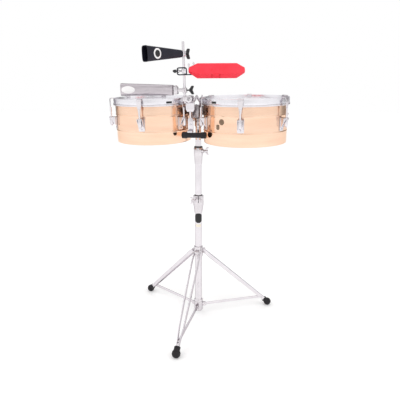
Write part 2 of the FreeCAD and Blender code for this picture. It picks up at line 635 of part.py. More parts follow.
def drum(side, outer, centre_x, facing_turn):
    """One drum about its own axis, its mount towards +X."""
    def finish(obj, name):
        keep_tilted(obj, f"{side}_{name}", centre_x, size["drum_offset_y"], 0, facing_turn)

    def around(piece):
        return group([turned(piece, angle) for angle in LUG_ANGLES])

    inner = outer - size["shell_wall"]
    half, rise, crest = size["bead_half"], size["bead_rise"], size["bead_crest"]
    profile = [(inner, size["shell_base"]), (outer, size["shell_base"])]
    for bead in (size["bead_low"], size["bead_high"]):
        profile += [(outer, bead - half), (outer + rise, bead - crest), (outer + rise, bead + crest),
                    (outer, bead + half)]
    profile += [(outer, size["shell_top"]), (inner, size["shell_top"])]
    for bead in (size["bead_high"], size["bead_low"]):
        profile += [(inner, bead + half), (inner + rise, bead + crest), (inner + rise, bead - crest),
                    (inner, bead - half)]
    finish(spun(profile), "shell")

    film, head_z = size["head_film"], size["head_z"]
    skirt = outer + 0.5
    hem = size["head_skirt"]
    finish(spun([(0, head_z), (skirt, head_z), (skirt, hem), (skirt + film, hem),
                 (skirt + film, head_z + film), (0, head_z + film)]), "head")
    finish(ring(outer + size["hoop_inner"], outer + size["hoop_outer"], size["hoop_base"], size["hoop_top"]),
           "flesh_hoop")
    finish(ring(outer + size["rim_inner"], outer + size["rim_inner"] + size["rim_wall"], size["rim_base"],
                size["rim_top"]), "rim")

    rod_x = outer + size["rod_offset"]
    plate = size["lug_plate"]

    def lug():
        half_plate, shelf_half = size["lug_half"], size["shelf_half"]
        back = box(outer + 0.1, outer + plate, -half_plate, half_plate, size["lug_base"], size["shelf_z"])
        shelf = box(outer + plate - 0.5, outer + size["shelf_reach"], -shelf_half, shelf_half,
                    size["shelf_z"] - size["shelf"], size["shelf_z"])
        near, far, top = outer + plate - 0.5, outer + size["shelf_reach"] - 1, size["shelf_z"] - 1
        low = top - size["gusset_drop"]
        wedge = padded([(near, top), (far, top), (far, top - 4), (near, low)], shelf_half * 2)
        inner_half = shelf_half - size["gusset"]
        between = box(near - 2, far + 1, -inner_half, inner_half, size["lug_base"], top)
        hole = rod(size["rod_r"] + size["rod_hole"], 10, rod_x, 0, size["shelf_z"] - 6)
        return cut(fuse(back, shelf, cut(wedge, between)), hole)

    def nut():
        height = size["shelf_z"] - size["shelf"] - size["nut_base"] - 0.2
        body = hexagon(size["nut_r"], height, rod_x, size["nut_base"])
        return cut(body, rod(size["rod_r"] + size["nut_play"], 60, rod_x, 0, size["nut_base"] - 5))

    def claw():
        half_claw = size["claw_half"]
        rim_out = outer + size["rim_inner"] + size["rim_wall"] + 0.3
        apron = box(rim_out, rim_out + size["claw_plate"], -half_claw, half_claw,
                    size["claw_drop"], size["rim_top"] + 1)
        lip = box(outer + size["rim_inner"] - 1, outer + 25.5, -half_claw, half_claw, size["rim_top"] + 0.2,
                  size["rim_top"] + size["claw_lip"])
        thick, wide = size["strap"] / 2, size["strap_half"]
        strap = box(rod_x - thick, rod_x + thick, -wide, wide, size["strap_base"], size["rim_top"] + 1)
        bolt = rod(size["rod_r"], size["strap_base"] - size["rod_base"] + 1, rod_x, 0, size["rod_base"])
        return fuse(apron, lip, strap, bolt)

    finish(around(lug()), "lugs")
    finish(around(nut()), "tuning_nuts")
    finish(around(claw()), "claws")

    wide = size["socket_half"]
    thick = size["socket_plate"]
    depth = (size["gap_right"] + size["gap_left"]) / 2 - size["bridge_half"] - size["socket_play"]
    top = size["socket_top"]
    foot_plate = box(outer + 0.1, outer + thick, -wide, wide, size["socket_base"], top)
    socket = box(outer + thick - 0.5, outer + depth, -wide, wide, top - 20, top)
    bores = [rod(size["drum_pin_r"] + size["drum_pin_play"], 40, outer - 5,
                 step * size["drum_pin_half_pitch"], size["drum_pin_z"], "x") for step in (-1, 1)]
    over_bead = rod(outer + rise + 0.1, half * 2 + 0.6, 0, 0, size["bead_high"] - half - 0.3)
    finish(cut(fuse(foot_plate, socket), *bores, over_bead), "mount_bracket")


def drums():
    left_r, right_r = size["shell_r_left"], size["shell_r_right"]
    drum("left", left_r, -(left_r + size["gap_left"]), App.Rotation())
    drum("right", right_r, right_r + size["gap_right"], about(Z_AXIS, 180))


# ---- bells and block ------------------------------------------------------------------------------

def bell(start, length, mouth, closed, wall):
    """A hollow, open-ended bell along +X; mouth and closed are (half width, half height)."""
    body = doc.addObject("PartDesign::Body", "bell")

    def section(half_y, half_z, at):
        chamfer = min(half_y, half_z) * 0.4
        corners = [(half_y, half_z - chamfer), (half_y - chamfer, half_z), (chamfer - half_y, half_z),
                   (-half_y, half_z - chamfer), (-half_y, chamfer - half_z), (chamfer - half_y, -half_z),
                   (half_y - chamfer, -half_z), (half_y, chamfer - half_z)]
        return sketch_on(body, "YZ_Plane", corners, at)

    def loft(kind, near, far):
        first = section(*near)
        second = section(*far)
        feature = body.newObject(f"PartDesign::{kind}Loft", kind)
        feature.Profile = first
        feature.Sections = [second]
        feature.Ruled = True
        doc.recompute()

    end = start + length
    thick = number(wall)
    loft("Additive", (*closed, start), (*mouth, end))
    hollow_back = (closed[0] - thick, closed[1] - thick, start + wall)
    loft("Subtractive", hollow_back, (mouth[0] - thick, mouth[1] - thick, end))
    return body


def post_block(half_height):
    """The part of an accessory clamp that grips the post, with its bore along Z."""
    half = size["clamp_half"]
    body = box(-half, half, -half, half, -half_height, half_height)
    return cut(body, rod(size["post_r"] + size["post_fit"], 80, 0, 0, -40))


def on_post_turn(yaw, pitch=0.0):
    """Turned about the post to a direction, then pitched up."""
    return lean() * about(Z_AXIS, yaw) * about(Y_AXIS, -pitch)


HIGH_BELL_YAW, HIGH_BELL_PITCH = 239.1, -0.6
LOW_BELL_YAW, LOW_BELL_PITCH = 180.0, 1.75
BLOCK_YAW, BLOCK_PITCH = 11.4, -1.6


def accessories():
    half = SIZES["clamp_height"] / 2

    def wing_nut(name, spot, yaw, shaft_length, span):
        """Closes an accessory's clamp from behind, square to its length."""
        turn = lean() * about(Z_AXIS, yaw) * about(Y_AXIS, -90)
        bolt = wing_bolt(3.0, shaft_length, 5.5, 11, span, 11)
        keep_tilted(bolt, name, *shifted(spot, yaw, -(SIZES["clamp_half"] + 0.3)), turn)

    high = on_post(SIZES["high_bell_z"])
    start, length, wall = size["high_bell_start"] + 4, size["high_bell_length"], size["bell_wall"]
    keep_tilted(bell(start, length, (17.2, 28.6), (10.5, 13.8), wall), "high_bell", *high,
                on_post_turn(HIGH_BELL_YAW, HIGH_BELL_PITCH))
    keep_tilted(post_block(half), "high_bell_clamp", *high, on_post_turn(HIGH_BELL_YAW))
    wing_nut("high_bell_wing_nut", high, HIGH_BELL_YAW, 3, 40)

    low = on_post(SIZES["low_bell_z"])
    start, length = size["low_bell_start"], size["low_bell_length"]
    keep_tilted(bell(start, length, (20.0, 25.1), (15.0, 20.2), wall), "low_bell", *low,
                on_post_turn(LOW_BELL_YAW, LOW_BELL_PITCH))
    stub = box(size["clamp_half"] - 1, start - 1.4, -6, 6, -5, 8)
    keep_tilted(fuse(post_block(half), stub), "low_bell_clamp", *low, on_post_turn(LOW_BELL_YAW))
    wing_nut("low_bell_wing_nut", low, LOW_BELL_YAW, 12, 34)

    middle = on_post(SIZES["block_z"])
    keep_tilted(jam_block(), "jam_block", *middle, on_post_turn(BLOCK_YAW, BLOCK_PITCH))
    under = -size["block_height"] / 2 + 4.3
    shelf = box(size["clamp_half"] - 1, size["block_start"] + 42, -9, 9, under - 9.3, under - 6.3)
    upright = box(size["clamp_half"] - 1, size["clamp_half"] + 3, -9, 9, under - 9.3, 8)
    keep_tilted(fuse(post_block(half * 0.9), shelf, upright), "jam_block_bracket", *middle,
                on_post_turn(BLOCK_YAW))
    wing_nut("jam_block_wing_nut", middle, BLOCK_YAW, 8, 30)


def shifted(spot, yaw, reach):
    """A point moved from the post along a direction square to it."""
    step = (lean() * about(Z_AXIS, yaw)).multVec(App.Vector(reach, 0, 0))
    return spot[0] + step.x, spot[1] + step.y, spot[2] + step.z


def jam_block():
    """A plastic block with pointed ends and a sound slot cut up from below."""
    start, length, height = size["block_start"], size["block_length"], size["block_height"]
    end = start + length
    nose, tail = 34.0, 36.0
    outline = [(start, -8), (start + tail, -height / 2), (end - nose, -height / 2), (end, -9), (end, 12),
               (end - nose, height / 2), (start + tail, height / 2), (start, 14)]
    body = padded(outline, size["block_depth"])
    doc.recompute()
    middle = start + length / 2
    half_slot = size["block_slot"] / 2
    half_length = size["block_slot_length"] / 2
    left, right = middle - half_length, middle + half_length
    corners = [(left, -half_slot), (right, -half_slot), (right, half_slot), (left, half_slot)]
    slot = sketch_on(body, "XY_Plane", corners, -size["block_height"] / 2)
    pocket = body.newObject("PartDesign::Pocket", "slot")
    pocket.Profile = slot
    link(pocket, "Length", size["block_slot_depth"])
    pocket.Reversed = True
    return body


# ---- build ------------------------------------------------------------------------------------------

stand_base()
height_wing_bolt()
leg_collar()
collar_wing_bolt()
tripod()
mast()
stem()
bridge()
accessory_post()
drums()
accessories()
doc.recompute()

faults = [f"{obj.Label}: {obj.State}" for obj in doc.Objects if {"Invalid", "Error"} & set(obj.State)]
for part in sub_parts:
    shape = part.Shape
    if shape.isNull() or not shape.isValid() or not shape.Solids:
        faults.append(f"{part.Label}: no valid solid")
if faults:
    raise SystemExit("failed objects:\n" + "\n".join(faults))
os.makedirs("parts", exist_ok=True)
for part in sub_parts:
    part.Shape.exportStep(f"parts/{part.Label}.step")
print(len(sub_parts), "sub-parts")
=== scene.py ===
"""Timbales: the looks of two bronze drums, two bells and a block on a folding stand.

Lengths are in millimetres until a piece is made, and every piece is drawn in a frame of its own:
the stand's axis, a leg's plane, a drum's axis or an accessory's clamp.  Those frames come from
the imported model's joints and nodes.
"""
import json
import math

import bmesh
import bpy
from mathutils import Matrix, Vector


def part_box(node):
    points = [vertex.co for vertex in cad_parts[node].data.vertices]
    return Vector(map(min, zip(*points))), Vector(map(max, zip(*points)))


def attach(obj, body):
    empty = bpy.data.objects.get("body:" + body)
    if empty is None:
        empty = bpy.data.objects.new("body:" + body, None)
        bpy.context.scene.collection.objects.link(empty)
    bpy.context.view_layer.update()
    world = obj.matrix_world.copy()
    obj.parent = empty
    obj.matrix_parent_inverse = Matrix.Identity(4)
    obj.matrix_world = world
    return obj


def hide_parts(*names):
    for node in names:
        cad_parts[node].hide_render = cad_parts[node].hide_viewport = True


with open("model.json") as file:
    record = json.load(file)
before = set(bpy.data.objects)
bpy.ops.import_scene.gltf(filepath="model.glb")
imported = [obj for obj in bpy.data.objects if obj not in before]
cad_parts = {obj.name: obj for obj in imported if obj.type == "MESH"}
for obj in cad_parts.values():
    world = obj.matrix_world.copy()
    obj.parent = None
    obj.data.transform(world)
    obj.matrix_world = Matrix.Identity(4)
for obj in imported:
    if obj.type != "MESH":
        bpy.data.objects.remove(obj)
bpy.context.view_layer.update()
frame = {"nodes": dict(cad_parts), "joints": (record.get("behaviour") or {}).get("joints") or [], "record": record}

MM = 0.001
JOINTS = {joint["name"]: joint for joint in frame["joints"]}
X_AXIS, Y_AXIS, Z_AXIS = Vector((1, 0, 0)), Vector((0, 1, 0)), Vector((0, 0, 1))


# ---- frames ----

def shift(x=0.0, y=0.0, z=0.0):
    return Matrix.Translation((x, y, z))


def turn(degrees, axis="Z"):
    return Matrix.Rotation(math.radians(degrees), 4, axis)


def aimed(origin, z_axis, x_axis):
    """A frame at origin with its Z along z_axis and its X as near x_axis as that allows."""
    up = Vector(z_axis).normalized()
    side = up.cross(Vector(x_axis)).normalized()
    matrix = Matrix.Identity(4)
    for index, column in enumerate((side.cross(up), side, up)):
        matrix.col[index][:3] = column
    matrix.translation = origin
    return matrix


def along(direction):
    """Turns a solid drawn along Z to point along another axis."""
    return {"x": turn(90, "Y"), "-x": turn(-90, "Y"), "y": turn(-90, "X"), "-y": turn(90, "X")}[direction]


def spot(name):
    """Where a joint turns, in millimetres."""
    return Vector(JOINTS[name]["pos_m"]) / MM


def axis_of(name):
    return Vector(JOINTS[name]["axis"])


def node_points(node, within):
    """A CAD node's vertices, in one of the frames."""
    home = within.inverted()
    return [home @ (vertex.co / MM) for vertex in frame["nodes"][node].data.vertices]


def span(node, within):
    """The lowest and highest corners of a CAD node, in one of the frames."""
    points = node_points(node, within)
    low = Vector([min(point[i] for point in points) for i in range(3)])
    high = Vector([max(point[i] for point in points) for i in range(3)])
    return low, high


def heights(node, within):
    low, high = span(node, within)
    return low.z, high.z


tube_low, tube_high = (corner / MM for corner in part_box("lower_tube"))
AXIS = Vector(((tube_low.x + tube_high.x) / 2, (tube_low.y + tube_high.y) / 2, 0))
STAND = Matrix.Translation(AXIS)
UP = axis_of("left_head_tension")
REST_TILT = math.degrees(math.atan2(-UP.y, UP.z))
TILT_PIN = STAND.inverted() @ spot("drum_tilt")
BRIDGE = STAND @ Matrix.Translation(TILT_PIN) @ turn(REST_TILT, "X") @ Matrix.Translation(-TILT_PIN)


def clamp_frame(name):
    """An accessory's clamp: Z up the post and X away from its wing nut."""
    return aimed(spot(f"{name}_swivel"), axis_of(f"{name}_swivel"), -axis_of(f"{name}_wing_nut_turn"))


def bolt_frame(joint, x_hint=Z_AXIS):
    """A bolt's frame: Z out along the bolt, and its wings along X."""
    return aimed(spot(joint), axis_of(joint), x_hint)


# ---- solids: each is a list of points and a list of faces ----

def placed(solid, matrix):
    points, faces = solid
    return [matrix @ Vector(point) for point in points], faces


def moved(solid, x=0.0, y=0.0, z=0.0):
    return placed(solid, shift(x, y, z))


def joined(*solids):
    points, faces = [], []
    for more_points, more_faces in solids:
        first = len(points)
        points += list(more_points)
        faces += [[first + index for index in face] for face in more_faces]
    return points, faces


def copies(solid, matrices):
    return joined(*(placed(solid, matrix) for matrix in matrices))


def rounded(corners, radius, steps=5, closed=True):
    """An outline with its corners turned into arcs; radius is one number or one per corner."""
    outline = []
    count = len(corners)
    for index, corner in enumerate(corners):
        here = Vector(corner)
        size = radius[index] if isinstance(radius, (list, tuple)) else radius
        if size <= 0 or (not closed and index in (0, count - 1)):
            outline.append(here)
            continue
        back = Vector(corners[index - 1]) - here
        ahead = Vector(corners[(index + 1) % count]) - here
        half = back.angle(ahead) / 2
        reach = min(size / math.tan(half), back.length * 0.49, ahead.length * 0.49)
        start = here + back.normalized() * reach
        end = here + ahead.normalized() * reach
        for step in range(steps + 1):
            t = step / steps
            outline.append(start * (1 - t) ** 2 + here * 2 * t * (1 - t) + end * t * t)
    return outline


def rectangle(x0, x1, y0, y1, radius, steps=5):
    """A rectangle's outline; its corners go round from (x0, y0) by way of (x1, y0)."""
    return rounded([(x0, y0), (x1, y0), (x1, y1), (x0, y1)], radius, steps)


def bridged(rings, closed):
    """The faces between neighbouring rings of points, and from the last ring to the first if closed."""
    faces = []
    for low, high in zip(rings, rings[1:] + (rings[:1] if closed else [])):
        for index in range(len(low)):
            after = (index + 1) % len(low)
            corners = list(dict.fromkeys((low[index], low[after], high[after], high[index])))
            if len(corners) > 2:
                faces.append(corners)
    return faces


def skinned(sections, closed=False):
    """A skin over rings of points, capped at both ends unless the last ring meets the first."""
    count = len(sections[0])
    points = [Vector(point) for section in sections for point in section]
    rings = [list(range(first, first + count)) for first in range(0, len(points), count)]
    caps = [] if closed else [rings[0][::-1], rings[-1]]
    return points, bridged(rings, closed) + caps


def lathe(outline, steps=96):
    """An outline of (radius, height) turned about Z: a ring, unless both its ends are on the axis."""
    points, rings = [], []
    closed = max(outline[0][0], outline[-1][0]) > 1e-6
    for radius, height in outline:
        first = len(points)
        on_axis = radius < 1e-6
        rings.append([first] * steps if on_axis else list(range(first, first + steps)))
        for column in range(1 if on_axis else steps):
            angle = math.tau * column / steps
            points.append(Vector((radius * math.cos(angle), radius * math.sin(angle), height)))
    return points, bridged(rings, closed)


def turned(outline, steps=96):
    """A solid turned about Z, whose flat ends run in to the axis."""
    return lathe([(0, outline[0][1]), *outline, (0, outline[-1][1])], steps)


def softened(bm, soft, least):
    """Rounds the edges that turn by more than the least angle, and gives the points and faces."""
    if soft > 0:
        edges = [edge for edge in bm.edges
                 if len(edge.link_faces) == 2 and edge.calc_face_angle() > math.radians(least)]
        bmesh.ops.bevel(bm, geom=edges, offset=soft, segments=2, profile=0.5, affect="EDGES",
            clamp_overlap=True)
    bm.verts.ensure_lookup_table()
    points = [vertex.co.copy() for vertex in bm.verts]
    faces = [[vertex.index for vertex in face.verts] for face in bm.faces]
    bm.free()
    return points, faces


def brick(x0, x1, y0, y1, z0, z1, soft=1.0):
    """A block with soft edges."""
    bm = bmesh.new()
    bmesh.ops.create_cube(bm, size=1.0)
    size = Vector((x1 - x0, y1 - y0, z1 - z0))
    middle = Vector((x1 + x0, y1 + y0, z1 + z0)) / 2
    for vertex in bm.verts:
        vertex.co = vertex.co * size + middle
    return softened(bm, soft, 25.0)


def slab(outline, low, high, soft=0.6, least=40.0):
    """An outline of (x, y) points given a thickness along Z, with soft edges."""
    bm = bmesh.new()
    bottom, top = ([bm.verts.new((x, y, z)) for x, y in outline] for z in (low, high))
    bm.faces.new(bottom[::-1])
    bm.faces.new(top)
    for index in range(len(outline)):
        after = (index + 1) % len(outline)
        bm.faces.new((bottom[index], bottom[after], top[after], top[index]))
    bmesh.ops.recalc_face_normals(bm, faces=bm.faces)
    return softened(bm, soft, least)


UPRIGHT = Matrix(((1, 0, 0, 0), (0, 0, -1, 0), (0, 1, 0, 0), (0, 0, 0, 1)))


def panel(outline, low, high, soft=0.6):
    """An outline of (x, z) points given a thickness along Y, from low to high."""
    return placed(slab(outline, -high, -low, soft), UPRIGHT)


def ribbon(path, half_widths, thickness):
    """A flat strap along a path of (x, z) points, its width along Y."""
    thick, edge = thickness / 2, thickness * 0.3
    sections = []
    for index, ((x, z), half) in enumerate(zip(path, half_widths)):
        run = Vector(path[min(index + 1, len(path) - 1)]) - Vector(path[max(index - 1, 0)])
        normal = Vector((run.y, -run.x)).normalized()
        outline = [(half - edge, thick), (half, thick - edge), (half, edge - thick), (half - edge, -thick),
            (edge - half, -thick), (-half, edge - thick), (-half, thick - edge), (edge - half, thick)]
        sections.append([(x + normal.x * out, across, z + normal.y * out) for across, out in outline])
    return skinned(sections)


def hoop(outline, half_width, thickness):
    """A flat strap bent round a closed outline of (x, z) points, its width along Y."""
    centre = sum(outline, Vector((0, 0))) / len(outline)
    sections = []
    for index, point in enumerate(outline):
        run = (outline[(index + 1) % len(outline)] - outline[index - 1]).normalized()
        inwards = Vector((run.y, -run.x))
        if inwards.dot(point - centre) > 0:
            inwards = -inwards
        back = point + inwards * thickness
        sections.append([(x, y, z) for (x, z), sides in ((point, (-1, 1)), (back, (1, -1)))
                         for y in (sides[0] * half_width, sides[1] * half_width)])
    return skinned(sections, closed=True)


def curved_label(width, height, corner, radius, thick=0.6, columns=28):
    """A plate with rounded corners bent round a cylinder about Z, centred on azimuth 0."""
    sections = []
    for index in range(columns + 1):
        x = -width / 2 + width * index / columns
        inset = max(abs(x) - (width / 2 - corner), 0.0)
        half = max(height / 2 - corner + math.sqrt(max(corner ** 2 - inset ** 2, 0.0)), 0.05)
        c, s = math.cos(x / radius), math.sin(x / radius)
        section = ((radius, -half), (radius + thick, -half + 0.15), (radius + thick, half - 0.15),
            (radius, half))
        sections.append([(r * c, r * s, z) for r, z in section])
    return skinned(sections)


def mesh_of(name, solid):
    points, faces = solid
    mesh = bpy.data.meshes.new(name)
    mesh.from_pydata([tuple(Vector(point) * MM) for point in points], [], faces)
    bm = bmesh.new()
    bm.from_mesh(mesh)
    bmesh.ops.recalc_face_normals(bm, faces=bm.faces)
    bm.to_mesh(mesh)
    bm.free()
    return mesh


def shown(name, data):
    """A new object in the scene."""
    obj = bpy.data.objects.new(name, data)
    bpy.context.scene.collection.objects.link(obj)
    return obj


def carved(solid, *tools):
    """A solid with others cut out of it."""
    base, tool = shown("base", mesh_of("base", solid)), shown("tool", mesh_of("tool", joined(*tools)))
    cut = base.modifiers.new("cut", "BOOLEAN")
    cut.operation = "DIFFERENCE"
    cut.object = tool
    cut.solver = "EXACT"
    cut.use_self = True
    bpy.context.view_layer.update()
    result = base.evaluated_get(bpy.context.evaluated_depsgraph_get()).to_mesh()
    points = [vertex.co / MM for vertex in result.vertices]
    faces = [list(polygon.vertices) for polygon in result.polygons]
    for obj in (base, tool):
        bpy.data.objects.remove(obj)
    return points, faces


# ---- common hardware ----

def rod(radius, low, high, soft=0.5, steps=32):
    """A round bar along Z with softened ends."""
    outline = [(0, low), (radius - soft, low), (radius, low + soft), (radius, high - soft),
        (radius - soft, high), (0, high)]
    return lathe(outline, steps)


def threaded(radius, low, high, pitch=1.6, depth=0.45):
    """A round bar with ridges like a thread."""
    turns = max(int((high - low) / pitch), 1)
    pitch = (high - low) / turns
    outline = [(0, low), (radius - depth, low)]
    for base in (low + index * pitch for index in range(turns)):
        outline += [(radius - depth, base + pitch * 0.1), (radius, base + pitch * 0.5)]
    outline += [(radius - depth, high), (0, high)]
    return lathe(outline, 24)


def hollow(inner, outer, low, high, soft=0.4, steps=64):
    """A tube along Z with softened lips."""
    outline = [(inner + soft, low), (outer - soft, low), (outer, low + soft), (outer, high - soft),
        (outer - soft, high), (inner + soft, high), (inner, high - soft), (inner, low + soft)]
    return lathe(outline, steps)


def hexagon(radius, low, high, soft=0.5):
    outline = [(radius * math.cos(math.tau * k / 6), radius * math.sin(math.tau * k / 6)) for k in range(6)]
    return slab(outline, low, high, soft)


def screw(radius, height):
    """A domed screw head on z = 0 with a cross cut into it."""
    dome = [(0, 0), (radius, 0), (radius, height * 0.35), (radius * 0.86, height * 0.75),
        (radius * 0.5, height), (0, height)]
    arm, half = radius * 0.55, radius * 0.13
    cross = [brick(-arm, arm, -half, half, height * 0.5, height * 2, 0), brick(-half, half, -arm, arm,
        height * 0.51, height * 2.01, 0)]
    return carved(lathe(dome, 24), *cross)


def screw_at(radius, height, x, y, z, direction):
    """A screw head whose seat is at (x, y, z), facing along an axis."""
    return placed(screw(radius, height), shift(x, y, z) @ along(direction))


def pin_with_heads(radius, half):
    """A hinge pin along Y with a domed head at each end."""
    head = lathe([(0, half - 0.1), (radius * 1.6, half - 0.1), (radius * 1.6, half + 0.7),
        (radius, half + 1.6), (0, half + 1.8)], 24)
    return joined(placed(rod(radius, -half, half), along("y")), copies(head, (along("y"), along("-y"))))


def wing_screw(shaft_r, shaft, hub_r, hub, wide, tall, thick=4.0, full=False):
    """A wing bolt along Z from its seat: a threaded shaft, a turned hub and two shaped wings.

    Full wings are a moulded nut's, with a shallow dip between them.
    """
    waist, dip = (0.84, 0.66) if full else (0.72, 0.42)
    base = shaft + hub * 0.2
    top = base + tall
    hub_body = turned([(hub_r * 0.92, shaft), (hub_r, shaft + 1), (hub_r, shaft + hub * 0.55),
        (hub_r * 0.8, shaft + hub * 0.9), (hub_r * 0.45, shaft + hub)], 32)
    reach = wide / 2
    ear = rounded([(0, base), (reach * 0.55, base + tall * 0.04), (reach, base + tall * 0.38),
        (reach, top - tall * 0.12), (reach * 0.8, top), (reach * 0.5, base + tall * waist),
        (0, base + tall * dip)], [0, 3, 4, 3, 3, 4, 0])
    wings = [panel([(side * x, z) for x, z in ear], -thick / 2, thick / 2, thick * 0.3) for side in (1, -1)]
    return joined(hub_body, *wings, threaded(shaft_r, 0.0, shaft + 1.0))


# ---- materials ----

def added(tree, kind, values=(), **settings):
    """A new node with its settings, and fixed values on some of its inputs."""
    node = tree.nodes.new(kind)
    for name, setting in settings.items():
        setattr(node, name, setting)
    for socket, value in dict(values).items():
        node.inputs[socket].default_value = value
    return node


def linked(tree, *pairs):
    """Joins outputs to inputs, each given as (node, output, node, input)."""
    for source, output, target, socket in pairs:
        tree.links.new(source.outputs[output], target.inputs[socket])


def ramped(tree, stops, interpolation="LINEAR"):
    """A colour ramp through (position, colour) stops."""
    ramp = added(tree, "ShaderNodeValToRGB")
    ramp.color_ramp.interpolation = interpolation
    elements = ramp.color_ramp.elements
    for index, (position, colour) in enumerate(stops):
        element = elements[index] if index < 2 else elements.new(position)
        element.position = position
        element.color = (*colour, 1)
    return ramp


def new_material(name):
    material = bpy.data.materials.new(name)
    material.use_nodes = True
    return material, material.node_tree, material.node_tree.nodes["Principled BSDF"]


def noise(tree, stretch, scale, detail=3.0):
    """A noise over the piece's own coordinates, stretched along its axes."""
    where = added(tree, "ShaderNodeTexCoord")
    mapping = added(tree, "ShaderNodeMapping", {"Scale": stretch})
    texture = added(tree, "ShaderNodeTexNoise", {"Scale": scale, "Detail": detail, "Roughness": 0.5})
    linked(tree, (where, "Object", mapping, "Vector"), (mapping, "Vector", texture, "Vector"))
    return texture


def toned(tree, shader, drift, dark, light):
    """A colour that follows a noise from dark to light."""
    ramp = ramped(tree, ((0.3, dark), (0.7, light)))
    linked(tree, (drift, "Fac", ramp, "Fac"), (ramp, "Color", shader, "Base Color"))


def textured(tree, shader, fine, rough, strength, distance):
    """A roughness between two values and a relief, both from a fine noise."""
    low, high = rough
    values = {"From Min": 0.3, "From Max": 0.7, "To Min": low, "To Max": high}
    polish = added(tree, "ShaderNodeMapRange", values)
    bump = added(tree, "ShaderNodeBump", {"Strength": strength, "Distance": distance})
    linked(tree, (fine, "Fac", polish, "Value"), (polish, "Result", shader, "Roughness"),
        (fine, "Fac", bump, "Height"), (bump, "Normal", shader, "Normal"))


EVEN = (1, 1, 1)
CHROME_EDGE = (0.45, 0.42, 0.44)


def metal(name, dark, light, rough, scale, bump, grain_scale, stretch=EVEN, grain=EVEN, edge=CHROME_EDGE):
    """A metal whose tone and polish drift a little, with a fine grain and an edge tint."""
    material, tree, shader = new_material(name)
    shader.inputs["Metallic"].default_value = 1.0
    shader.inputs["Specular Tint"].default_value = (*edge, 1)
    toned(tree, shader, noise(tree, stretch, scale), dark, light)
    textured(tree, shader, noise(tree, grain, grain_scale, 2.0), rough, bump, 0.0004)
    return material


def moulded(name, dark, light, rough, scale, grain, bump, gloss=0.5):
    """Plastic, rubber or paint: a drifting tone and a pebbled surface."""
    material, tree, shader = new_material(name)
    shader.inputs["Specular IOR Level"].default_value = gloss
    toned(tree, shader, noise(tree, EVEN, scale), dark, light)
    textured(tree, shader, noise(tree, EVEN, grain, 2.0), rough, bump, 0.0003)
    return material


METALS = {
    "chrome": ((0.75, 0.715, 0.745), (0.82, 0.785, 0.815), (0.09, 0.17), 25.0, 0.01, 300.0),
    "rim_chrome": ((0.85, 0.835, 0.875), (0.92, 0.905, 0.945), (0.20, 0.30), 12.0, 0.01, 300.0,
                   EVEN, EVEN, (0.75, 0.73, 0.76)),
    "zinc_casting": ((0.70, 0.665, 0.69), (0.78, 0.745, 0.77), (0.16, 0.28), 40.0, 0.06, 700.0),
    # A darker copy of the zinc casting's colour: painted shade for the castings that sit shaded between the drums.
    "shaded_casting": ((0.36, 0.33, 0.34), (0.50, 0.46, 0.48), (0.20, 0.34), 40.0, 0.06, 700.0),
    "brushed_steel": ((0.50, 0.455, 0.485), (0.64, 0.59, 0.625), (0.16, 0.32), 8.0, 0.12, 20.0,
                      (3, 60, 60), (4, 250, 250)),
}
MOULDED = {
    "head_film": ((0.88, 0.88, 0.92), (0.94, 0.94, 0.97), (0.28, 0.40), 12.0, 1500.0, 0.08),
    "black_rubber": ((0.012, 0.011, 0.013), (0.022, 0.019, 0.022), (0.45, 0.65), 80.0, 1200.0, 0.25, 0.25),
    "black_plastic": ((0.008, 0.008, 0.010), (0.016, 0.016, 0.018), (0.35, 0.5), 80.0, 1500.0, 0.15),
    "nylon": ((0.02, 0.02, 0.022), (0.03, 0.03, 0.034), (0.4, 0.5), 50.0, 900.0, 0.1),
    "black_steel": ((0.010, 0.010, 0.018), (0.016, 0.016, 0.028), (0.30, 0.42), 30.0, 1800.0, 0.18, 0.28),
    "red_plastic": ((0.90, 0.028, 0.052), (0.97, 0.040, 0.070), (0.25, 0.40), 30.0, 700.0, 0.06, 0.4),
    "label_black": ((0.004, 0.004, 0.005), (0.010, 0.010, 0.012), (0.25, 0.35), 90.0, 900.0, 0.04),
    "label_white": ((0.86, 0.84, 0.84), (0.93, 0.91, 0.91), (0.3, 0.4), 90.0, 900.0, 0.04),
    "label_beige": ((0.80, 0.72, 0.58), (0.88, 0.81, 0.68), (0.4, 0.5), 90.0, 900.0, 0.04),
    "label_dark": ((0.16, 0.10, 0.06), (0.24, 0.15, 0.09), (0.3, 0.4), 90.0, 900.0, 0.04),
}
LACQUER = {"Coat Weight": 0.25, "Coat Roughness": 0.04}


def make_paints():
    """Every paint by name; the shells' bronze is brushed round and lacquered."""
    bronze = metal("bronze", (0.93, 0.63, 0.46), (0.98, 0.70, 0.53), (0.10, 0.17), 6.0, 0.02, 120.0,
                   (1, 1, 8), (1, 1, 60), (0.90, 0.78, 0.68))
    for socket, value in LACQUER.items():
        bronze.node_tree.nodes["Principled BSDF"].inputs[socket].default_value = value
    paints = {"shell_bronze": bronze}
    paints.update({name: metal(name, *look) for name, look in METALS.items()})
    paints.update({name: moulded(name, *look) for name, look in MOULDED.items()})
    return paints


PAINTS = make_paints()


def piece(name, body, paint, at, *solids, sharp=35.0):
    """One visible piece: a mesh in its own frame that rides on a CAD body.

    A piece with the name of a CAD node stands for that node.
    """
    mesh = mesh_of(name, joined(*solids))
    mesh.shade_smooth()
    mesh.set_sharp_from_angle(angle=math.radians(sharp))
    mesh.materials.append(PAINTS[paint])
    obj = shown(name, mesh)
    where = at.copy()
    where.translation = at.translation * MM
    obj.matrix_world = where
    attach(obj, body)
    if name in frame["nodes"]:
        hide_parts(name)


def wing_bolt(name, sizes, lift=0.0, x_hint=Z_AXIS, paint="chrome"):
    """A wing bolt, or a moulded wing nut in plastic, that turns on a joint of its own."""
    wings = wing_screw(*sizes, full=paint == "black_plastic")
    piece(name, name, paint, bolt_frame(f"{name}_turn", x_hint), moved(wings, z=lift))


# ---- camera, floor and light ----

